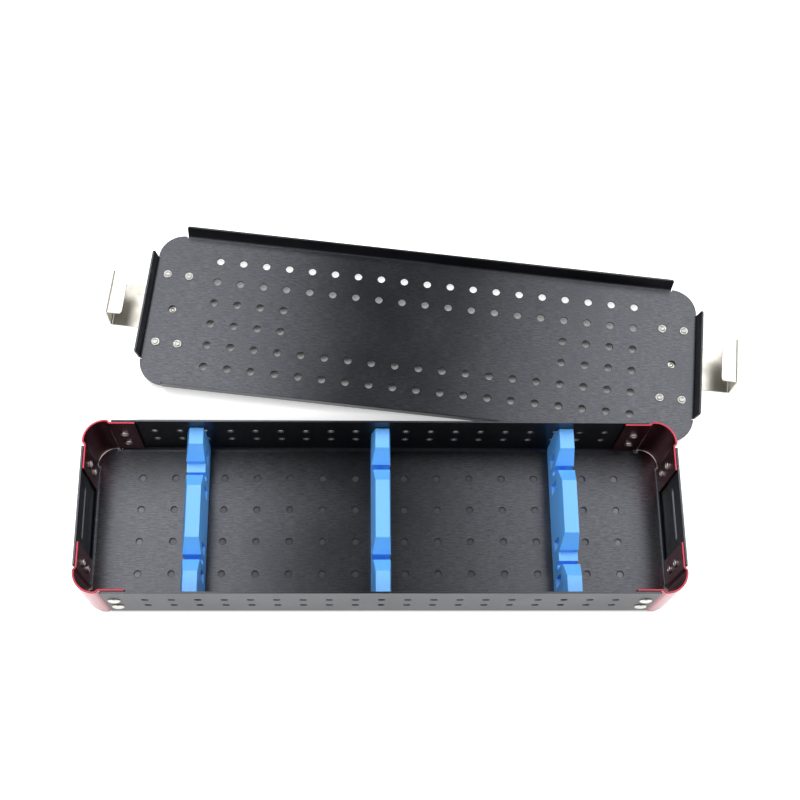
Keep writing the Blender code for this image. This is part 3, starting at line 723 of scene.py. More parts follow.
def soften(
    thing: bpy.types.Object, radius: float, segments: int = 2, angle: float = EDGE_ANGLE
) -> bpy.types.Object:
    """Round the sharp edges of a piece and apply it.

    Args:
        thing: The piece.
        radius: The rounding's width.
        segments: The rounding's steps.
        angle: Edges sharper than this are rounded.

    Returns:
        The piece.
    """
    modifier = thing.modifiers.new("Soft edges", "BEVEL")
    modifier.width = radius
    modifier.segments = segments
    modifier.limit_method = "ANGLE"
    modifier.angle_limit = angle
    modifier.use_clamp_overlap = True
    return settle(thing)


def cut(
    thing: bpy.types.Object, tools: Sequence[bpy.types.Object], operation: str = "DIFFERENCE"
) -> None:
    """Cut tools out of a piece, or join them to it, and remove them.

    Args:
        thing: The piece.
        tools: The cutting or added objects.
        operation: DIFFERENCE to cut, UNION to join.
    """
    for tool in tools:
        modifier = thing.modifiers.new(tool.name, "BOOLEAN")
        modifier.operation = operation
        modifier.solver = "EXACT"
        modifier.object = tool
    settle(thing)
    for tool in tools:
        bpy.data.objects.remove(tool)


def round_free_corners(
    thing: bpy.types.Object, thickness: float, radius: float, chosen: Callable[[Vector], bool]
) -> None:
    """Round the corners of a sheet seen from its face.

    Args:
        thing: The sheet, already thick.
        thickness: Its thickness, the length of the edges to round.
        radius: The rounding's radius.
        chosen: Says whether a point lies on a corner to round.
    """
    shape = bmesh.new()
    shape.from_mesh(thing.data)
    corners = []
    for edge in shape.edges:
        if edge.calc_length() < thickness + TINY and all(chosen(vert.co) for vert in edge.verts):
            corners.append(edge)
    bmesh.ops.bevel(
        shape, geom=corners, offset=radius, offset_type="OFFSET", segments=ROUND_STEPS,
        profile=ROUND_PROFILE, affect="EDGES",
    )
    shape.to_mesh(thing.data)
    shape.free()


def turned(section: Sequence[Point], sides: int) -> bmesh.types.BMesh:
    """Turn a half section once round the upright axis.

    Args:
        section: Its points, each a distance from the axis and a height.
        sides: The steps of the turn.

    Returns:
        The working shape.
    """
    shape = bmesh.new()
    verts = [shape.verts.new((radius, 0, height)) for radius, height in section]
    for first, second in zip(verts, verts[1:]):
        shape.edges.new((first, second))
    bmesh.ops.spin(
        shape, geom=shape.verts[:] + shape.edges[:], cent=(0, 0, 0), axis=(0, 0, 1),
        angle=FULL_TURN, steps=sides, use_merge=True,
    )
    return shape


@dataclass(frozen=True)
class Punch:
    """A punched hole: round, with a slightly broken edge on both faces of the sheet."""

    diameter: float
    sheet: float
    edge: float = 0.18 * MM
    overrun: float = CUT_OVERRUN / 4
    sides: int = 24

    def tool(self, name: str, places: Sequence[Place], axis: Axis) -> bpy.types.Object:
        """Return one cutter for many holes, each centred in its sheet.

        Args:
            name: The cutter's name.
            places: The hole centres, in the middle of the sheet.
            axis: The direction of the holes.

        Returns:
            The cutting object.
        """
        radius = self.diameter / 2
        half = self.sheet / 2
        flare = self.edge + self.overrun
        rings = (
            (half + self.overrun, radius + flare),
            (half - self.edge, radius),
            (self.edge - half, radius),
            (-half - self.overrun, radius + flare),
        )
        shape = bmesh.new()
        for place in places:
            matrix = Matrix.Translation(place) @ axis.value
            loops = []
            for height, reach in rings:
                lifted = matrix @ Matrix.Translation((0, 0, height))
                ring = bmesh.ops.create_circle(
                    shape, segments=self.sides, radius=reach, matrix=lifted
                )
                loops.append(ring["verts"])
            shape.faces.new(loops[0])
            shape.faces.new(reversed(loops[-1]))
            for upper, lower in zip(loops, loops[1:]):
                for index in range(self.sides):
                    after = (index + 1) % self.sides
                    shape.faces.new((upper[index], lower[index], lower[after], upper[after]))
        bmesh.ops.recalc_face_normals(shape, faces=shape.faces)
        return new_object(name, store(shape, name))


def bore_tool(
    name: str, places: Sequence[Place], axis: Axis, diameter: float, length: float
) -> bpy.types.Object:
    """Make one plain cutter for many round bores.

    Args:
        name: The cutter's name.
        places: The middle of each bore.
        axis: The direction of the bores.
        diameter: Their diameter.
        length: Their length.

    Returns:
        The cutting object.
    """
    shape = bmesh.new()
    for place in places:
        bmesh.ops.create_cone(
            shape, cap_ends=True, segments=BORE_SIDES, radius1=diameter / 2,
            radius2=diameter / 2, depth=length, matrix=Matrix.Translation(place) @ axis.value,
        )
    return new_object(name, store(shape, name))


def folded_sheet(
    name: str, flat: Point, lobe: Point, radius: float, run: Point, path: Sequence[Point]
) -> bpy.types.Object:
    """Fold a flat with rounded corner lobes up at its four sides, as one open surface.

    Args:
        name: The object's name.
        flat: Half sizes to the bend lines.
        lobe: Half sizes to the corner lobes.
        radius: The lobes' corner radius.
        run: Half lengths of the bent-up sides.
        path: The bend and wall in section, outward and up from the bend line.

    Returns:
        The open surface as an object.
    """
    shape = bmesh.new()
    outline, edges = [], []
    for sign_x, sign_y, start in QUADRANTS:
        centre = (sign_x * (lobe[0] - radius), sign_y * (lobe[1] - radius))
        corner = arc(centre, radius, start, start + QUARTER, LOBE_STEPS)
        end = [(sign_x * flat[0], sign_y * run[1]), (sign_x * flat[0], centre[1])]
        side = [(centre[0], sign_y * flat[1]), (sign_x * run[0], sign_y * flat[1])]
        points = end + corner + side if sign_x == sign_y else side[::-1] + corner + end[::-1]
        verts = [shape.verts.new((x, y, 0)) for x, y in points]
        outline += verts
        edges.append((verts[0], verts[-1]))
    shape.faces.new(outline)
    # The sides between the corners in turn: rear, left, front and right
    for index, (sign, axis) in enumerate(((1, 1), (-1, 0), (-1, 1), (1, 0))):
        row = (edges[index][1], edges[(index + 1) % len(edges)][0])
        for across, height in path:
            moved = []
            for vert in row:
                place = vert.co.copy()
                place[axis] = sign * (flat[axis] + across)
                place.z = height
                moved.append(shape.verts.new(place))
            shape.faces.new((row[0], row[1], moved[1], moved[0]))
            row = tuple(moved)
    return new_object(name, store(shape, name))


def bend_path(rise: float, radius: float, angle: float) -> list[Point]:
    """Draw a bend and the straight above it, measured outward from the bend line.

    Args:
        rise: The height of the straight's upper end.
        radius: The bend's radius in the middle of the sheet.
        angle: The angle that the sheet is bent by.

    Returns:
        The points after the bend line, each a distance outward and a height.
    """
    path = []
    for step in range(1, BEND_STEPS + 1):
        part = angle * step / BEND_STEPS
        path.append((radius * math.sin(part), radius - radius * math.cos(part)))
    across, height = path[-1]
    return path + [(across + (rise - height) / math.tan(angle), rise)]


def at_run_ends(run: Point, low: float) -> Callable[[Vector], bool]:
    """Make a test for points at the ends of the bent-up sides, from a height on.

    Args:
        run: Half lengths of the sides.
        low: The lowest height that counts.

    Returns:
        The test.
    """

    def at_end(place: Vector) -> bool:
        """Say whether the point lies there."""
        ends = abs(abs(place.x) - run[0]) < TINY or abs(abs(place.y) - run[1]) < TINY
        return ends and place.z > low - TINY

    return at_end


def finish_piece(
    thing: bpy.types.Object, material: bpy.types.Material, body: Body,
    nodes: Sequence[str],
) -> bpy.types.Object:
    """Shade, dress and mount a finished piece on its body.

    Args:
        thing: The piece, in place.
        material: Its finish.
        body: The body it rides on.
        nodes: The CAD nodes that it stands for.

    Returns:
        The piece.
    """
    close_seams(thing)
    thing.data.transform(thing.matrix_world)
    thing.matrix_world = Matrix.Identity(4)
    thing.data.materials.clear()
    thing.data.materials.append(material)
    thing.data.shade_smooth()
    thing.data.set_sharp_from_angle(angle=SHARP_ANGLE)
    weighted = thing.modifiers.new("Flat faces", "WEIGHTED_NORMAL")
    weighted.keep_sharp = True
    settle(thing)
    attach(thing, body.value)
    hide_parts(*nodes)
    LOG.info("%s: %d faces on %s", thing.name, len(thing.data.polygons), body.value)
    return thing


def middle(node: str) -> Vector:
    """Return the centre of a CAD node's box."""
    low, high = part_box(node)
    return (Vector(low) + Vector(high)) / 2


@dataclass
class Tray:
    """The folded and perforated tray, with holes in its floor, its long walls and its ends."""

    sheet: float = 1.5 * MM
    bend: float = 3.0 * MM
    rim_round: float = 1.2 * MM
    edge_round: float = 0.22 * MM
    corner_gap: float = 0.6 * MM
    setback: float = 20.0 * MM
    corner_radius: float = 16.0 * MM
    floor_hole: float = 5.2 * MM
    floor_pitch: Point = (25.0 * MM, 24.9 * MM)
    floor_rows: int = 4
    floor_shift: float = 1.1 * MM
    floor_end: float = 30.0 * MM
    bay_columns: int = 5
    rack_pitch: float = 37.5 * MM
    wall_hole: float = 5.2 * MM
    wall_hole_edge: float = 0.25 * MM
    wall_pitch: float = 18.75 * MM
    wall_rows: Point = (23.4 * MM, 40.5 * MM)
    wall_hole_end: float = 45.5 * MM
    slot_half: Point = (20.0 * MM, 2.5 * MM)
    slot_round: float = 2.0 * MM
    slot_below_rim: float = 21.0 * MM
    peg_bore: float = 5.0 * MM
    peg_from_centre: float = 48.0 * MM
    rivet_from_corner: float = 27.3 * MM
    rivet_rows: Point = (20.5 * MM, 39.5 * MM)
    rivet_bore: float = 4.6 * MM

    def __post_init__(self) -> None:
        """Read the tray's outer size from the frame."""
        low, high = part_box("tray_shell")
        self.half_x, self.half_y, self.height = high[0], high[1], high[2] - low[2]
        self.rivet_x = self.half_x - self.rivet_from_corner
        self.rivet_y = self.half_y - self.rivet_from_corner
        self.racks = [middle("instrument_rack_" + name).x for name in ("left", "centre", "right")]

    def blank(self) -> bpy.types.Object:
        """Fold the sheet up, before its holes are punched.

        Returns:
            The sheet, in place.
        """
        bend = self.bend + self.sheet / 2
        flat = (self.half_x - self.sheet / 2 - bend, self.half_y - self.sheet / 2 - bend)
        inset = self.sheet + self.corner_gap
        lobe = (self.half_x - inset, self.half_y - inset)
        run = (self.half_x - self.setback, self.half_y - self.setback)
        rise = self.height - self.sheet / 2
        path = bend_path(rise, bend, RIGHT_ANGLE)
        sheet = folded_sheet("tray_formed", flat, lobe, self.corner_radius - inset, run, path)
        thicken(sheet, self.sheet)
        round_free_corners(sheet, self.sheet, self.rim_round, at_run_ends(run, rise))
        sheet.data.transform(Matrix.Translation((0, 0, self.sheet / 2)))
        return soften(sheet, self.edge_round)

    def floor_places(self) -> list[Place]:
        """Lay out the floor holes: full bays between the racks, and what fits at the ends.

        Returns:
            The hole centres, in the middle of the sheet.
        """
        columns = []
        for rack in self.racks:
            for index in range(self.bay_columns):
                place = rack + self.rack_pitch / 2 + index * self.floor_pitch[0]
                if rack > -TINY and place < self.half_x - self.floor_end:
                    columns += [place, -place]
        rows = [y + self.floor_shift for y in centred(self.floor_rows, self.floor_pitch[1])]
        return [(x, y, self.sheet / 2) for x in columns for y in rows]

    def slot_outline(self) -> list[Point]:
        """Draw an end slot with round corners.

        Returns:
            Its outline, along the end and across it.
        """
        outline = []
        along, across = [half - self.slot_round for half in self.slot_half]
        for sign_a, sign_b, start in QUADRANTS:
            centre = (sign_a * along, sign_b * across)
            outline += arc(centre, self.slot_round, start, start + QUARTER, BEND_STEPS)
        return outline

    def tools(self) -> list[bpy.types.Object]:
        """Make the cutters for perforation, slots, rivets and pegs.

        Returns:
            The cutters.
        """
        wall_y = self.half_y - self.sheet / 2
        wall_x = self.half_x - self.sheet / 2
        columns = filling(self.half_x - self.wall_hole_end, self.wall_pitch)
        walls = [
            (x, side * wall_y, z) for x in columns for z in self.wall_rows for side in BOTH_SIDES
        ]
        peg_y, peg_z = self.peg_from_centre, self.sheet / 2
        pegs = [(x, side * peg_y, peg_z) for x in self.racks for side in BOTH_SIDES]
        signs = [(a, b) for a in BOTH_SIDES for b in BOTH_SIDES]
        side = [(a * self.rivet_x, b * wall_y, z) for a, b in signs for z in self.rivet_rows]
        end = [(a * wall_x, b * self.rivet_y, z) for a, b in signs for z in self.rivet_rows]
        through = self.sheet + CUT_OVERRUN
        height = self.height - self.slot_below_rim
        slots = []
        for label, sign in (member.value for member in Side):
            slot = slab("slot_tool_" + label, self.slot_outline(), through)
            slot.data.transform(Matrix.Translation((sign * wall_x, 0, height)) @ SECTION_TO_YZ)
            slots.append(slot)
        floor_punch = Punch(self.floor_hole, self.sheet)
        wall_punch = Punch(self.wall_hole, self.sheet, self.wall_hole_edge)
        return [
            floor_punch.tool("floor_punch", self.floor_places(), Axis.Z),
            wall_punch.tool("wall_punch", walls, Axis.Y),
            bore_tool("peg_bores", pegs, Axis.Z, self.peg_bore, through),
            bore_tool("side_bores", side, Axis.Y, self.rivet_bore, through),
            bore_tool("end_bores", end, Axis.X, self.rivet_bore, through),
            *slots,
        ]

    def build(self, finish: bpy.types.Material) -> None:
        """Fold, punch, dress and mount the tray.

        Args:
            finish: Its finish.
        """
        sheet = self.blank()
        cut(sheet, self.tools())
        finish_piece(sheet, finish, Body.TRAY, ["tray_shell"])


@dataclass
class CornerBrackets:
    """The four stepped corner strips, outside flush with the walls and their legs inside them."""

    tray: Tray
    sheet: float = 1.5 * MM
    fit: float = 0.3 * MM
    radius: float = 16.0 * MM
    joggle_start: float = 16.5 * MM
    joggle_end: float = 19.2 * MM
    joggle_steps: int = 8
    foot: float = 5.1 * MM
    foot_start: float = 19.6 * MM
    edge_round: float = 0.42 * MM
    edge_steps: int = 3
    bend_steps: int = 24

    def leg(self, reach: float) -> list[Point]:
        """Draw one leg in section, from its end to the corner.

        Args:
            reach: The leg's length from the corner.

        Returns:
            Points as distance from the corner and depth from the outer face.
        """
        outer = self.sheet / 2
        inner = self.tray.sheet + self.fit + outer
        points = [(reach, inner)]
        for step in range(self.joggle_steps + 1):
            share = step / self.joggle_steps
            ease = (1 - math.cos(math.pi * share)) / 2
            along = self.joggle_end + (self.joggle_start - self.joggle_end) * share
            points.append((along, inner + (outer - inner) * ease))
        return points

    def strip(self, name: str, corner: Corner) -> bpy.types.Object:
        """Bend one strip, before its feet and bores are cut.

        Args:
            name: The object's name.
            corner: Its corner of the tray.

        Returns:
            The strip, in place.
        """
        label, sign_x, sign_y = corner.value
        low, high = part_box("corner_bracket_" + label)
        reach = high[0] - low[0]
        half_x, half_y = self.tray.half_x, self.tray.half_y
        leg = self.leg(reach)
        centre = (half_x - self.radius, half_y - self.radius)
        path = [(half_x - along, half_y - depth) for along, depth in leg]
        path += arc(centre, self.radius - self.sheet / 2, QUARTER, 0, self.bend_steps)
        path += [(half_x - depth, half_y - along) for along, depth in reversed(leg)]
        near = [(sign_x * x, sign_y * y, low[2]) for x, y in path]
        far = [(sign_x * x, sign_y * y, high[2]) for x, y in path]
        return thicken(between(name, near, far), self.sheet)

    def foot_tool(self, name: str, corner: Corner) -> bpy.types.Object:
        """Make the cutter that frees both legs from the tray's floor bends.

        Args:
            name: The cutter's name.
            corner: The strip's corner of the tray.

        Returns:
            The cutting object.
        """
        _, sign_x, sign_y = corner.value
        reach, depth = 2 * self.foot_start, self.tray.sheet + self.sheet + CUT_OVERRUN
        half_x, half_y = self.tray.half_x, self.tray.half_y
        shape = bmesh.new()
        for near_x, far_x, near_y, far_y in (
            (self.foot_start, reach, -CUT_OVERRUN, depth),
            (-CUT_OVERRUN, depth, self.foot_start, reach),
        ):
            first = Vector((sign_x * (half_x - near_x), sign_y * (half_y - near_y), -CUT_OVERRUN))
            second = Vector((sign_x * (half_x - far_x), sign_y * (half_y - far_y), self.foot))
            size = [abs(length) for length in second - first]
            matrix = Matrix.Translation((first + second) / 2) @ Matrix.Diagonal((*size, 1))
            bmesh.ops.create_cube(shape, size=1, matrix=matrix)
        return new_object(name, store(shape, name))

    def build(self, finish: bpy.types.Material) -> None:
        """Bend, cut, dress and mount the four brackets.

        Args:
            finish: Their finish.
        """
        tray = self.tray
        depth = 2 * (tray.sheet + self.sheet + CUT_OVERRUN)
        for corner in Corner:
            label, sign_x, sign_y = corner.value
            strip = self.strip("bracket_formed_" + label, corner)
            cut(strip, [self.foot_tool("foot_" + label, corner)])
            soften(strip, self.edge_round, self.edge_steps)
            side = [(sign_x * tray.rivet_x, sign_y * tray.half_y, z) for z in tray.rivet_rows]
            end = [(sign_x * tray.half_x, sign_y * tray.rivet_y, z) for z in tray.rivet_rows]
            cut(strip, [
                bore_tool("side_" + label, side, Axis.Y, tray.rivet_bore, depth),
                bore_tool("end_" + label, end, Axis.X, tray.rivet_bore, depth),
            ])
            finish_piece(strip, finish, Body.TRAY, ["corner_bracket_" + label])


@dataclass(frozen=True)
class Rivet:
    """A blind rivet: domed head, shank, and a tail of a flat ring, a groove and an inner collar.

    The shares are of the head's rise, of its rim, or of the tail's half width or rise.
    """

    grip: float
    shank: float
    head: float
    head_rise: float
    tail: float
    tail_rise: float
    seat_gap: float = 0.2 * MM
    rim_share: float = 0.16
    rim_break_share: float = 0.4
    groove_share: float = 0.68
    groove_wall_share: float = 0.4
    collar_share: float = 0.44
    collar_rise_share: float = 0.9
    pit_share: float = 0.12
    pit_wall_share: float = 0.6
    pit_floor_share: float = 0.7
    fullness: float = 0.5
    steps: int = 8
    sides: int = 32

    def section(self) -> list[Point]:
        """Draw the half section from the top of the head to the middle of the tail.

        Returns:
            Points as distance from the axis and height, zero at the face that the tail sits on.
        """
        seat = self.grip + self.seat_gap
        foot = -self.seat_gap
        rim = self.head_rise * self.rim_share
        broken = rim * self.rim_break_share
        places = []
        for step in range(self.steps + 1):
            angle = RIGHT_ANGLE * step / self.steps
            rise = (self.head_rise - rim) * math.cos(angle)
            places.append((self.head / 2 * math.sin(angle), seat + rim + rise))
        places += [(self.head / 2, seat + broken), (self.head / 2 - broken, seat)]
        places += [(self.shank / 2, seat), (self.shank / 2, foot)]
        half, rise = self.tail / 2, self.tail_rise
        shares = (self.groove_share, self.collar_share, self.pit_share)
        groove, collar, pit = [half * share for share in shares]
        rings = ((half, groove, foot - rise), (collar, pit, foot - rise * self.collar_rise_share))
        for outer, inner, high in rings:
            centre, reach = (outer + inner) / 2, (outer - inner) / 2
            for step in range(self.steps + 1):
                angle = HALF_TURN * step / self.steps
                rounded = math.sin(angle) ** self.fullness
                places.append((centre + reach * math.cos(angle), foot + (high - foot) * rounded))
            places[-1] = (inner, foot - rise * self.groove_wall_share)
            places.append(((groove + collar) / 2, foot))
        # The collar ends in a pit instead of a groove
        places[-2:] = [(pit, foot - rise * self.pit_wall_share)]
        places.append((0, foot - rise * self.pit_floor_share))
        return places

    def place(
        self, name: str, matrix: Matrix, finish: bpy.types.Material, body: Body, slot: Slot,
        node: str,
    ) -> None:
        """Turn one rivet, place it, dress it and mount it."""
        mesh = store(turned(self.section(), self.sides), name)
        finish_piece(weld(new_object(name, mesh, matrix)), finish, body, [node])


@dataclass
class TrayRivets:
    """The sixteen rivets of the brackets, heads outside the walls and tails inside the legs."""

    brackets: CornerBrackets
    shank: float = 4.0 * MM
    head: float = 9.0 * MM
    head_rise: float = 1.8 * MM
    tail: float = 6.4 * MM
    tail_rise: float = 1.1 * MM

    def build(self, finish: bpy.types.Material) -> None:
        """Make and mount every tray rivet.

        Args:
            finish: Their finish.
        """
        tray = self.brackets.tray
        grip = tray.sheet + self.brackets.fit + self.brackets.sheet
        rivet = Rivet(grip, self.shank, self.head, self.head_rise, self.tail, self.tail_rise)
        for corner in Corner:
            label, sign_x, sign_y = corner.value
            walls = (
                ("side", (tray.rivet_x, tray.half_y - grip), -sign_y * RIGHT_ANGLE, "X"),
                ("end", (tray.half_x - grip, tray.rivet_y), sign_x * RIGHT_ANGLE, "Y"),
            )
            for wall, (x, y), angle, axis in walls:
                turn = Matrix.Rotation(angle, 4, axis)
                for level, height in zip(("lower", "upper"), tray.rivet_rows):
                    matrix = Matrix.Translation((sign_x * x, sign_y * y, height)) @ turn
                    which = f"{label}_{wall}_{level}"
                    rivet.place(
                        "rivet_set_" + which, matrix, finish, Body.TRAY, Slot.RIVET_METAL,
                        "rivet_" + which,
                    )


@dataclass(frozen=True)
class Notch:
    """One notch of a rack: its slit's place along the rack and whether it has a ledge."""

    centre: float
    ledge: bool = False


@dataclass
class InstrumentRacks:
    """The three moulded racks, each with two slotted notches, windows and pegs."""

    tray: Tray
    fit: float = 0.3 * MM
    taper_depth: float = 12.0 * MM
    taper_left: float = 2.6 * MM
    taper_right: float = 0.9 * MM
    slit: float = 4.8 * MM
    slit_depth: float = 26.0 * MM
    slope_run: float = 10.0 * MM
    rear_drop: float = 12.0 * MM
    front_drop: float = 7.0 * MM
    ledge_run: float = 7.0 * MM
    ledge_drop: float = 17.0 * MM
    web: float = 4.0 * MM
    window_half: float = 4.0 * MM
    window_sill: float = 13.0 * MM
    window_below_top: float = 13.5 * MM
    window_crown: float = 3.0 * MM
    peg: float = 4.4 * MM
    peg_recess: float = 0.3 * MM
    mould_round: float = 0.55 * MM
    mould_steps: int = 3
    mould_angle: float = math.radians(28)
    slit_steps: int = 10
    crown_steps: int = 16
    notches: tuple[tuple[str, tuple[Notch, ...]], ...] = (
        ("left", (Notch(30.7 * MM, True), Notch(-33.0 * MM))),
        ("centre", (Notch(35.2 * MM), Notch(-33.0 * MM))),
        ("right", (Notch(35.2 * MM), Notch(-36.3 * MM, True))),
    )

    def __post_init__(self) -> None:
        """Read the racks' common sizes from the frame."""
        low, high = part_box("instrument_rack_centre")
        self.base = self.tray.sheet + self.fit
        self.height = high[2] - self.base
        self.thickness = high[0] - low[0]
        self.end = high[1]

    def notch(self, notch: Notch) -> list[Point]:
        """Draw one notch from rear to front: long slope, ledge, slit and short slope.

        Args:
            notch: The notch.

        Returns:
            Its points in the side view.
        """
        rear, front = notch.centre + self.slit / 2, notch.centre - self.slit / 2
        cut_rear = rear + (self.ledge_run if notch.ledge else 0)
        step = self.height - self.rear_drop
        points = [(cut_rear + self.slope_run, self.height), (cut_rear, step)]
        if notch.ledge:
            ledge = self.height - self.ledge_drop
            points += [(cut_rear, ledge), (rear, ledge)]
        radius = self.slit / 2
        centre = (notch.centre, self.height - self.slit_depth + radius)
        points += arc(centre, radius, 0, -2 * QUARTER, self.slit_steps)
        points += [(front, self.height - self.front_drop), (front - self.slope_run, self.height)]
        return points

    def outline(self, notches: Sequence[Notch]) -> list[Point]:
        """Draw a rack's side view.

        Args:
            notches: Its notches, the rear one first.

        Returns:
            Its outline.
        """
        end, foot = self.end, self.tray.bend
        outline = [(-end + foot, 0), (end - foot, 0), (end, foot), (end, self.height)]
        for notch in notches:
            outline += self.notch(notch)
        return outline + [(-end, self.height), (-end, foot)]

    def window(self, place: float) -> list[Point]:
        """Draw a window with a round crown and a flat sill.

        Args:
            place: Its place along the rack.

        Returns:
            Its outline in the side view.
        """
        crown = self.height - self.window_below_top - self.window_crown
        outline = arc((place, crown), self.window_crown, 0, 2 * QUARTER, self.crown_steps)
        sill = [(place + side * self.window_half, self.window_sill) for side in BOTH_SIDES]
        return outline + sill

    def taper(self, sign: int, taper: float) -> list[Point]:
        """Draw the wedge that is missing at one side of a rack's top.

        Args:
            sign: The sign of X at that side.
            taper: The wedge's width at the top.

        Returns:
            Its outline in the rack's end view.
        """
        face = self.thickness / 2
        outside = face + CUT_OVERRUN
        low, top = self.height - self.taper_depth, self.height + CUT_OVERRUN
        lean = taper / self.taper_depth
        wedge = [(face, low), (outside, low), (outside, top), (face - lean * (top - low), top)]
        return [(sign * across, height) for across, height in wedge]

    def tools(self, label: str, x: float, notches: Sequence[Notch]) -> list[bpy.types.Object]:
        """Make the cutters of one rack, for its side tapers and windows.

        Args:
            label: The rack's label.
            x: Its place along the tray.
            notches: Its notches, the rear one first.

        Returns:
            The cutters.
        """
        tools = []
        seat = Matrix.Translation((x, 0, self.base))
        # Longer than the rack, which reaches from -end to end
        overlong = 4 * self.end
        for member, taper in ((Side.LEFT, self.taper_left), (Side.RIGHT, self.taper_right)):
            side, sign = member.value
            wedge = slab(f"taper_{label}_{side}", self.taper(sign, taper), overlong)
            wedge.data.transform(seat @ Axis.Y.value)
            tools.append(weld(wedge))
        offset = self.slit / 2 + self.web + self.window_half
        for index, notch in enumerate(notches):
            step = self.ledge_run if notch.ledge else 0
            for place in (notch.centre + offset + step, notch.centre - offset):
                name = f"window_{label}_{index}_{len(tools)}"
                window = slab(name, self.window(place), self.thickness + CUT_OVERRUN)
                window.data.transform(seat @ SECTION_TO_YZ)
                tools.append(window)
        return tools

    def build(self, finish: bpy.types.Material) -> None:
        """Mould, dress and mount the three racks.

        Args:
            finish: Their finish.
        """
        top = self.base + self.peg / 2
        length = top - self.peg_recess
        for (label, notches), x in zip(self.notches, self.tray.racks):
            rack = slab("rack_moulded_" + label, self.outline(notches), self.thickness)
            rack.data.transform(Matrix.Translation((x, 0, self.base)) @ SECTION_TO_YZ)
            cut(rack, self.tools(label, x, notches))
            soften(rack, self.mould_round, self.mould_steps, self.mould_angle)
            places = [
                (x, side * self.tray.peg_from_centre, top - length / 2) for side in BOTH_SIDES
            ]
            cut(rack, [bore_tool("pegs_" + label, places, Axis.Z, self.peg, length)], "UNION")
            finish_piece(rack, finish, Body.TRAY, ["instrument_rack_" + label])


@dataclass
class Lid:
    """The perforated lid with four leaning flanges, lying with its inner face up."""

    sheet: float = 1.5 * MM
    bend: float = 1.5 * MM
    half_x: float = 219.1 * MM
    half_y: float = 65.6 * MM
    flange: float = 12.0 * MM
    lean: float = math.radians(10)
    flange_start: float = 21.0 * MM
    flange_round: float = 2.2 * MM
    corner_radius: float = 20.3 * MM
    edge_round: float = 0.22 * MM
    hole: float = 6.0 * MM
    pitch: Point = (18.75 * MM, 18.5 * MM)
    rows: int = 6
    short_rows: tuple[int, int] = (2, 3)
    short_count: int = 4
    hole_end: float = 46.0 * MM
    rivet_bore: float = 3.8 * MM
    rivet_offset: float = 8.75 * MM

    def __post_init__(self) -> None:
        """Read the lid's place from the frame."""
        left, right = middle("latch_guide_left"), middle("latch_guide_right")
        along = right - left
        self.guide_x = along.length / 2
        centre = (left + right) / 2
        centre.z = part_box("lid_sheet")[0][2] + self.sheet
        self.yaw = math.atan2(along.y, along.x)
        self.matrix = Matrix.Translation(centre) @ Matrix.Rotation(self.yaw, 4, "Z")
        rivet = self.matrix.inverted() @ middle("lid_rivet_right_rear_outer")
        self.rivet_y = rivet.y

    def rivet_places(self) -> dict[str, Point]:
        """Lay out the lid's rivets.

        Returns:
            Their places on the lid, by side, row and column.
        """
        places = {}
        for side, sign in (member.value for member in Side):
            for row, across in (("rear", 1), ("front", -1)):
                for column, step in (("inner", -1), ("outer", 1)):
                    x = sign * (self.guide_x + step * self.rivet_offset)
                    places[f"{side}_{row}_{column}"] = (x, across * self.rivet_y)
        return places

    def build(self, finish: bpy.types.Material) -> None:
        """Fold, punch, dress and mount the lid.

        Args:
            finish: Its finish.
        """
        flat = (self.half_x - self.bend, self.half_y - self.bend)
        run = (self.half_x - self.flange_start, self.half_y - self.flange_start)
        rise = self.flange + self.sheet / 2
        path = bend_path(rise, self.bend + self.sheet / 2, RIGHT_ANGLE - self.lean)
        lobe = (self.half_x, self.half_y)
        sheet = folded_sheet("lid_formed", flat, lobe, self.corner_radius, run, path)
        thicken(sheet, self.sheet)
        low_edge = rise - self.sheet * math.sin(self.lean)
        round_free_corners(sheet, self.sheet, self.flange_round, at_run_ends(run, low_edge))
        sheet.data.transform(Matrix.Translation((0, 0, -self.sheet / 2)))
        soften(sheet, self.edge_round)
        sheet.matrix_world = self.matrix
        cut(sheet, self.tools())
        finish_piece(sheet, finish, Body.LID, ["lid_sheet"])

    def tools(self) -> list[bpy.types.Object]:
        """Make the cutters for perforation, detents and rivets.

        Returns:
            The cutters.
        """
        depth = -self.sheet / 2
        columns = filling(self.half_x - self.hole_end, self.pitch[0])
        ends = columns[:self.short_count] + columns[-self.short_count:]
        holes = [(sign * self.guide_x, 0, depth) for sign in BOTH_SIDES]
        for row, y in enumerate(centred(self.rows, self.pitch[1])):
            holes += [(x, y, depth) for x in (ends if row in self.short_rows else columns)]
        rivets = [(x, y, depth) for x, y in self.rivet_places().values()]
        tools = [
            Punch(self.hole, self.sheet).tool("lid_punch", holes, Axis.Z),
            bore_tool("lid_bores", rivets, Axis.Z, self.rivet_bore, self.sheet + CUT_OVERRUN),
        ]
        for tool in tools:
            tool.matrix_world = self.matrix
        return tools


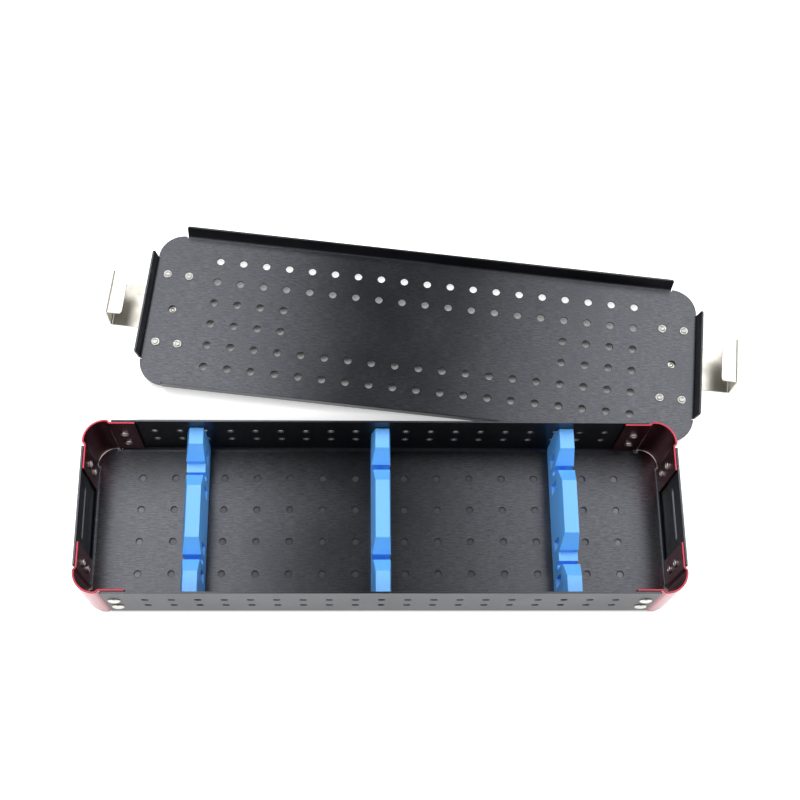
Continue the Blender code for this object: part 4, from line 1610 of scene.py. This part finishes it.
@dataclass
class Latches:
    """The guides under the lid, their rivets, and the two sliding hooks."""

    lid: Lid
    guide_sheet: float = 1.2 * MM
    guide_length: float = 30.0 * MM
    guide_brim: float = 15.0 * MM
    seat_gap: float = 0.2 * MM
    fit: float = 0.3 * MM
    sheet: float = 1.2 * MM
    width: float = 36.4 * MM
    lip: float = 13.0 * MM
    lip_height: float = 21.0 * MM
    tail: float = 12.5 * MM
    bend: float = 1.2 * MM
    lid_gap: float = 0.9 * MM
    corner_round: float = 2.4 * MM
    edge_round: float = 0.25 * MM
    edge_steps: int = 2
    edge_angle: float = math.radians(60)
    dimple: float = 3.8 * MM
    dimple_rise: float = 0.6 * MM
    dimple_root_share: float = 0.25
    dimple_sides: int = 24
    dimple_rings: int = 16
    rivet_shank: float = 3.2 * MM
    rivet_head: float = 7.4 * MM
    rivet_head_rise: float = 1.0 * MM
    rivet_tail: float = 6.6 * MM
    rivet_tail_rise: float = 0.7 * MM

    def __post_init__(self) -> None:
        """Work out the heights of plate and guide under the lid."""
        self.plate = self.lid.sheet + self.lid_gap + self.sheet / 2
        self.brim = self.lid.sheet + self.seat_gap + self.guide_sheet / 2
        self.web = self.plate + self.sheet / 2 + self.fit + self.guide_sheet / 2
        along = self.lid.matrix.col[0]
        guide = self.lid.matrix @ Vector((self.lid.guide_x, 0, 0))
        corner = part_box("latch_hook_right")[1][0] - guide.x
        self.reach = (corner - abs(along.y) * self.width / 2) / along.x

    def guide(self, label: str, sign: int, finish: bpy.types.Material) -> None:
        """Press, dress and mount one hat-shaped guide.

        Args:
            label: Its end of the lid.
            sign: The sign of X there.
            finish: Its finish.
        """
        foot = self.width / 2 + self.fit + self.guide_sheet / 2
        shoulder = foot + self.web - self.brim
        half = [(foot, -self.web), (shoulder, -self.brim), (shoulder + self.guide_brim, -self.brim)]
        path = [(-across, height) for across, height in reversed(half)] + half
        half_length = self.guide_length / 2
        near, far = [[(end, y, z) for y, z in path] for end in (-half_length, half_length)]
        guide = thicken(between("guide_pressed_" + label, near, far), self.guide_sheet)
        soften(guide, self.edge_round, self.edge_steps, self.edge_angle)
        centre = sign * self.lid.guide_x
        places = [
            (x - centre, y, -self.brim) for name, (x, y) in self.lid.rivet_places().items()
            if name.startswith(label)
        ]
        place = self.lid.matrix @ Matrix.Translation((centre, 0, 0))
        length = self.guide_sheet + CUT_OVERRUN
        bores = bore_tool("guide_bores", places, Axis.Z, self.lid.rivet_bore, length)
        bores.matrix_world = place
        guide.matrix_world = place
        cut(guide, [bores])
        finish_piece(guide, finish, Body.LID, ["latch_guide_" + label])

    def rivets(self, finish: bpy.types.Material) -> None:
        """Make and mount the lid rivets, heads under the guides and tails on the inner face.

        Args:
            finish: Their finish.
        """
        grip = self.lid.sheet + self.seat_gap + self.guide_sheet
        rivet = Rivet(
            grip, self.rivet_shank, self.rivet_head, self.rivet_head_rise, self.rivet_tail,
            self.rivet_tail_rise,
        )
        flip = Matrix.Rotation(HALF_TURN, 4, "X")
        for name, (x, y) in self.lid.rivet_places().items():
            matrix = self.lid.matrix @ Matrix.Translation((x, y, 0)) @ flip
            rivet.place(
                "lid_rivet_set_" + name, matrix, finish, Body.LID, Slot.LID_RIVET_METAL,
                "lid_rivet_" + name,
            )

    def hook_section(self) -> list[Point]:
        """Draw the hook in section: plate from its tail, bend, upright wall and inward lip.

        Returns:
            Points along the middle of its sheet, outward and up.
        """
        bend = self.bend + self.sheet / 2
        centre = self.reach - self.sheet / 2 - bend
        height = self.lip_height + self.plate
        path = [(-self.tail, 0)]
        path += arc((centre, bend), bend, -QUARTER, 0, BEND_STEPS)
        path += arc((centre, height - bend), bend, 0, QUARTER, BEND_STEPS)
        return path + [(self.reach - self.lip, height)]

    def hook(self, label: str, sign: int, finish: bpy.types.Material, body: Body) -> None:
        """Bend, dress and mount one hook latch.

        Args:
            label: Its end of the lid.
            sign: The sign of X there.
            finish: Its finish.
            body: The body it rides on.
        """
        half = self.width / 2
        near, far = [[(x, end, z) for x, z in self.hook_section()] for end in (-half, half)]
        hook = thicken(between("hook_bent_" + label, near, far), self.sheet)
        tip = self.reach - self.lip

        def at_tip(place: Vector) -> bool:
            """Say whether a point lies on a corner of the lip or of the plate's tail."""
            on_lip = place.z > self.lip_height and place.x < tip + TINY
            return abs(place.y) > half - TINY and (on_lip or place.x < TINY - self.tail)

        round_free_corners(hook, self.sheet, self.corner_round, at_tip)
        soften(hook, self.edge_round, self.edge_steps, self.edge_angle)
        turn = Matrix.Rotation(0 if sign > 0 else HALF_TURN, 4, "Z")
        centre = sign * self.lid.guide_x
        place = self.lid.matrix @ Matrix.Translation((centre, 0, -self.plate)) @ turn
        hook.matrix_world = place
        dimple = self.dimple_tool("dimple_" + label)
        dimple.matrix_world = place
        cut(hook, [dimple], "UNION")
        finish_piece(hook, finish, body, ["latch_hook_" + label])

    def dimple_tool(self, name: str) -> bpy.types.Object:
        """Make the detent dimple, a low dome that rises from inside the plate.

        Args:
            name: The object's name.

        Returns:
            The dome as an object.
        """
        low = self.sheet * self.dimple_root_share
        top = self.sheet / 2 + self.dimple_rise
        shape = bmesh.new()
        bmesh.ops.create_uvsphere(
            shape, u_segments=self.dimple_sides, v_segments=self.dimple_rings, radius=1
        )
        bmesh.ops.bisect_plane(
            shape, geom=shape.verts[:] + shape.edges[:] + shape.faces[:], plane_co=(0, 0, 0),
            plane_no=(0, 0, 1), clear_inner=True,
        )
        rim = [edge for edge in shape.edges if edge.is_boundary]
        bmesh.ops.holes_fill(shape, edges=rim, sides=0)
        bmesh.ops.recalc_face_normals(shape, faces=shape.faces)
        size = (self.dimple / 2, self.dimple / 2, top - low)
        bmesh.ops.scale(shape, vec=size, verts=shape.verts)
        bmesh.ops.translate(shape, vec=(0, 0, low), verts=shape.verts)
        return new_object(name, store(shape, name))

    def build(
        self, guide: bpy.types.Material, rivet: bpy.types.Material, hook: bpy.types.Material
    ) -> None:
        """Make the guides, their rivets and the hooks.

        Args:
            guide: The guides' finish.
            rivet: The rivets' finish.
            hook: The hooks' finish.
        """
        for side, body in ((Side.LEFT, Body.LATCH_LEFT), (Side.RIGHT, Body.LATCH_RIGHT)):
            label, sign = side.value
            self.guide(label, sign, guide)
            self.hook(label, sign, hook, body)
        self.rivets(rivet)


@dataclass(frozen=True)
class Softbox:
    """A rectangular soft lamp that the camera doesn't see. It faces down, or towards a point."""

    name: str
    place: Place
    size: Point
    watts: float
    turn: float = 0.0
    aim: Place | None = None

    def add(self) -> None:
        """Add the lamp to the scene."""
        lamp = bpy.data.lights.new(self.name, "AREA")
        lamp.shape = "RECTANGLE"
        lamp.size, lamp.size_y = self.size
        lamp.energy = self.watts
        facing = Matrix.Rotation(self.turn, 4, "Z")
        if self.aim is not None:
            sight = Vector(self.aim) - Vector(self.place)
            facing = sight.to_track_quat("-Z", "Y").to_matrix().to_4x4()
        new_object(self.name, lamp, Matrix.Translation(self.place) @ facing).visible_camera = False


@dataclass
class Studio:
    """White floor and curved backdrop, softboxes over both ends and at the front, and the camera.

    The floor's paint is darker where it lies in the shade of the tray and the lid. Each such
    area has its reach beyond or inside the piece, and the width over which it fades.
    """

    tray: Tray
    lid: Lid
    white: str = "#e6e6e6"
    # Painted shade: the floor's colour under and close behind the tray and under the lid, deeper
    # towards the tray's middle
    shade: str = "#8c8c92"
    deep_shade: str = "#38383c"
    shade_centre: Point = (200.0 * MM, 120.0 * MM)
    # Reach and fade of the painted shade below the tray; its corners are cut off so that the gaps
    # at the tray's corners show white floor
    tray_margin: float = 0.8 * MM
    tray_corner: float = 13.2 * MM
    tray_edge: float = 3.0 * MM
    # Reach and fade of the painted shade close behind the tray, which shows through the holes of
    # its rear wall
    rear_inset: float = 22.0 * MM
    rear_shade: float = 32.0 * MM
    rear_edge: float = 22.0 * MM
    # Painted shade below the lid, shifted towards its front, and the share of the darker colour
    # there
    lid_inset: float = 3.0 * MM
    lid_edge: float = 24.0 * MM
    lid_shift: float = 12.0 * MM
    lid_shade: float = 0.4
    floor_half: float = 4.0
    cove_height: float = 1.6
    cove_radius: float = 0.5
    cove_sides: int = 64
    floor_drop: float = 0.3 * MM
    paint_roughness: float = 0.9
    # The floor's glow, to the eye and in reflections, drops to the shade glow in the painted shade
    glow: float = 0.8
    mirrored_share: float = 1.2
    shade_glow: float = 0.03
    world_strength: float = 0.05
    lamps: tuple[Softbox, ...] = (
        Softbox("softbox_left", (-0.588, 0.52, 1.3), (0.9, 1.35), 17.3, math.radians(-7)),
        Softbox("softbox_right", (0.732, 0.569, 1.3), (0.9, 1.25), 15.4, math.radians(-23.3)),
        Softbox("softbox_front_left", (-1.6, -1.6, 1.6), (1.4, 1.4), 21.0, aim=(0.0, 0.0, 0.0)),
        Softbox("softbox_front_right", (1.6, -1.6, 1.6), (1.4, 1.4), 21.0, aim=(0.0, 0.0, 0.0)),
    )
    focal_pixels: float = 1355.45
    centre_pixels: Point = (390.92, 401.55)
    camera_place: Place = (-25.8 * MM, -272.7 * MM, 999.6 * MM)
    camera_view: Place = (0.0327, 0.3513, -0.9357)
    camera_right: Place = (0.9995, -0.0071, 0.0323)
    sensor: float = 36.0

    def camera(self) -> None:
        """Add the camera at the photograph's view."""
        data = bpy.data.cameras.new("photo_camera")
        data.sensor_width = self.sensor
        data.lens = self.focal_pixels / IMAGE_PIXELS * self.sensor
        data.shift_x = (IMAGE_PIXELS / 2 - self.centre_pixels[0]) / IMAGE_PIXELS
        data.shift_y = (self.centre_pixels[1] - IMAGE_PIXELS / 2) / IMAGE_PIXELS
        back = -Vector(self.camera_view).normalized()
        right = Vector(self.camera_right)
        right = (right - back * right.dot(back)).normalized()
        up = back.cross(right)
        turn = Matrix((right, up, back)).transposed().to_4x4()
        camera = new_object("photo_camera", data, Matrix.Translation(self.camera_place) @ turn)
        bpy.context.scene.camera = camera

    def floor(self) -> None:
        """Add the white floor, turned up at its edge into a backdrop."""
        rings = [(0.0, 0.0), (self.floor_half, 0.0)]
        centre = (self.floor_half, self.cove_radius)
        rings += arc(centre, self.cove_radius, -QUARTER, 0, BEND_STEPS)[1:]
        rings.append((self.floor_half + self.cove_radius, self.cove_height))
        section = [(radius, height - self.floor_drop) for radius, height in rings]
        shape = turned(section, self.cove_sides)
        bmesh.ops.remove_doubles(shape, verts=shape.verts, dist=TINY)
        cove = new_object("studio_cove", store(shape, "studio_cove"))
        cove.data.shade_smooth()
        cove.data.materials.append(self.cove_material())

    def footprint(
        self, tree: bpy.types.NodeTree, matrix: Matrix, half: Point, corner: float, edge: float
    ) -> bpy.types.Node:
        """Add a soft-edged mask of the table area in the shade of one part.

        Args:
            tree: The material's node tree.
            matrix: The area's place and turn about the upright axis.
            half: Its half sizes.
            corner: How far its corners are cut off, measured along its sides.
            edge: The width over which the mask fades inside its edges.

        Returns:
            A node that gives one in the shade and zero beside it.
        """
        place = add_node(tree, "ShaderNodeTexCoord").outputs["Object"]
        inputs = {0: place, 1: matrix.translation}
        moved = add_node(tree, "ShaderNodeVectorMath", inputs, operation="SUBTRACT")
        inputs = {"Vector": moved, "Angle": -matrix.to_euler().z}
        flat = add_node(tree, "ShaderNodeVectorRotate", inputs, rotation_type="Z_AXIS")
        reach = add_node(tree, "ShaderNodeVectorMath", {0: flat}, operation="ABSOLUTE")
        inputs = {0: reach, 1: (*half, 0)}
        over = add_node(tree, "ShaderNodeVectorMath", inputs, operation="SUBTRACT")
        axes = add_node(tree, "ShaderNodeSeparateXYZ", {0: over})
        x, y = axes.outputs["X"], axes.outputs["Y"]
        past = add_node(tree, "ShaderNodeMath", {0: x, 1: y}, operation="MAXIMUM")
        across = add_node(tree, "ShaderNodeMath", {0: x, 1: y}, operation="ADD")
        across = add_node(tree, "ShaderNodeMath", {0: across, 1: corner}, operation="ADD")
        past = add_node(tree, "ShaderNodeMath", {0: past, 1: across}, operation="MAXIMUM")
        return add_node(tree, "ShaderNodeMapRange", {0: past, 1: -edge, 2: 0.0, 3: 1.0, 4: 0.0})

    def seen(self, tree: bpy.types.NodeTree) -> bpy.types.Node:
        """Tell how much of the paint's glow a ray sees, so that it lights nothing.

        Args:
            tree: The material's node tree.

        Returns:
            A node that gives one to the eye, the mirrored share in a mirror and else zero.
        """
        path = add_node(tree, "ShaderNodeLightPath")
        inputs = {0: path.outputs["Is Glossy Ray"], 1: path.outputs["Is Transmission Ray"]}
        mirrored = add_node(tree, "ShaderNodeMath", inputs, operation="MAXIMUM")
        inputs = {0: mirrored, 1: self.mirrored_share}
        mirrored = add_node(tree, "ShaderNodeMath", inputs, operation="MULTIPLY")
        inputs = {0: path.outputs["Is Camera Ray"], 1: mirrored}
        return add_node(tree, "ShaderNodeMath", inputs, operation="MAXIMUM")

    def cove_material(self) -> bpy.types.Material:
        """Make matt white paint that reads as white to the eye and in reflections.

        Below the tray and the lid, and close behind the tray, it carries painted shade, a darker
        colour and a weaker glow, which shows through their holes.

        Returns:
            The material.
        """
        material, tree, shader = new_material("matt_white_paint")
        tray, lid, upright = self.tray, self.lid, Matrix.Identity(4)
        # Painted shade below the tray, reaching a little past its foot
        half = (tray.half_x + self.tray_margin, tray.half_y + self.tray_margin)
        below_tray = self.footprint(tree, upright, half, self.tray_corner, self.tray_edge)
        # Painted shade close behind the tray
        half = (tray.half_x - self.rear_inset, self.rear_shade)
        place = Matrix.Translation((0, tray.half_y, 0))
        behind_tray = self.footprint(tree, place, half, 0.0, self.rear_edge)
        inputs = {0: below_tray, 1: behind_tray}
        by_tray = add_node(tree, "ShaderNodeMath", inputs, operation="MAXIMUM")
        # Painted shade below the lid
        half = (lid.half_x - self.lid_inset, lid.half_y - self.lid_inset)
        place = lid.matrix @ Matrix.Translation((0, -self.lid_shift, 0))
        below_lid = self.footprint(tree, place, half, 0.0, self.lid_edge)
        inputs = {0: by_tray, 1: below_lid}
        shaded = add_node(tree, "ShaderNodeMath", inputs, operation="MAXIMUM")
        # The glow drops to the shade glow where the painted shade lies
        inputs = {0: shaded, 1: 0.0, 2: 1.0, 3: self.glow, 4: self.shade_glow}
        glow_outside_shade = add_node(tree, "ShaderNodeMapRange", inputs)
        # The painted shade is deeper towards the middle under the tray
        half, edge = self.shade_centre
        deep = self.footprint(tree, upright, (half, half), -half, edge)
        colours = {0: deep, 6: linear(self.shade), 7: linear(self.deep_shade)}
        dark = add_node(tree, "ShaderNodeMix", colours, data_type="RGBA").outputs[2]
        # Under the lid only a share of the painted shade's darker colour is used
        inputs = {0: below_lid, 1: self.lid_shade}
        painted_shade_share = add_node(tree, "ShaderNodeMath", inputs, operation="MULTIPLY")
        inputs = {0: by_tray, 1: painted_shade_share}
        painted_shade_share = add_node(tree, "ShaderNodeMath", inputs, operation="MAXIMUM")
        colours = {0: painted_shade_share, 6: linear(self.white), 7: dark}
        glow = {0: self.seen(tree), 1: glow_outside_shade}
        set_inputs(tree, shader, {
            "Base Color": add_node(tree, "ShaderNodeMix", colours, data_type="RGBA").outputs[2],
            "Roughness": self.paint_roughness,
            "Specular IOR Level": 0.0,
            "Emission Color": (1.0, 1.0, 1.0, 1.0),
            "Emission Strength": add_node(tree, "ShaderNodeMath", glow, operation="MULTIPLY"),
        })
        return material

    def build(self) -> None:
        """Set up floor, lamps, world and camera."""
        self.floor()
        for lamp in self.lamps:
            lamp.add()
        world = bpy.data.worlds.new("studio_world")
        world.use_nodes = True
        background = world.node_tree.nodes["Background"]
        background.inputs["Color"].default_value = linear(self.white)
        background.inputs["Strength"].default_value = self.world_strength
        bpy.context.scene.world = world
        bpy.context.scene.view_settings.view_transform = "Standard"
        self.camera()


def main() -> None:
    """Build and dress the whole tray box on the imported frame."""
    logging.basicConfig(level=logging.INFO, format="%(message)s")
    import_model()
    red = DyedAnodisedAluminium().build()
    blue = MouldedSilicone().build()
    bright = StainlessSteel(
        "tumbled_rivet_steel", colour="#d2d1cc", shade="#bab9b4", roughness_low=0.36,
        roughness_high=0.46,
    ).build()
    tray = Tray()
    tray.build(BrushedAnodisedAluminium().build())
    brackets = CornerBrackets(tray)
    brackets.build(red)
    TrayRivets(brackets).build(bright)
    InstrumentRacks(tray).build(blue)
    lid = Lid()
    lid.build(BrushedAnodisedAluminium("brushed_black_anodised_lid", lid.yaw).build())
    steel = StainlessSteel("satin_stainless_steel", lid.yaw).build()
    Latches(lid).build(steel, bright, steel)
    Studio(tray, lid).build()
    bpy.context.view_layer.update()


if __name__ == "__main__":
    main()
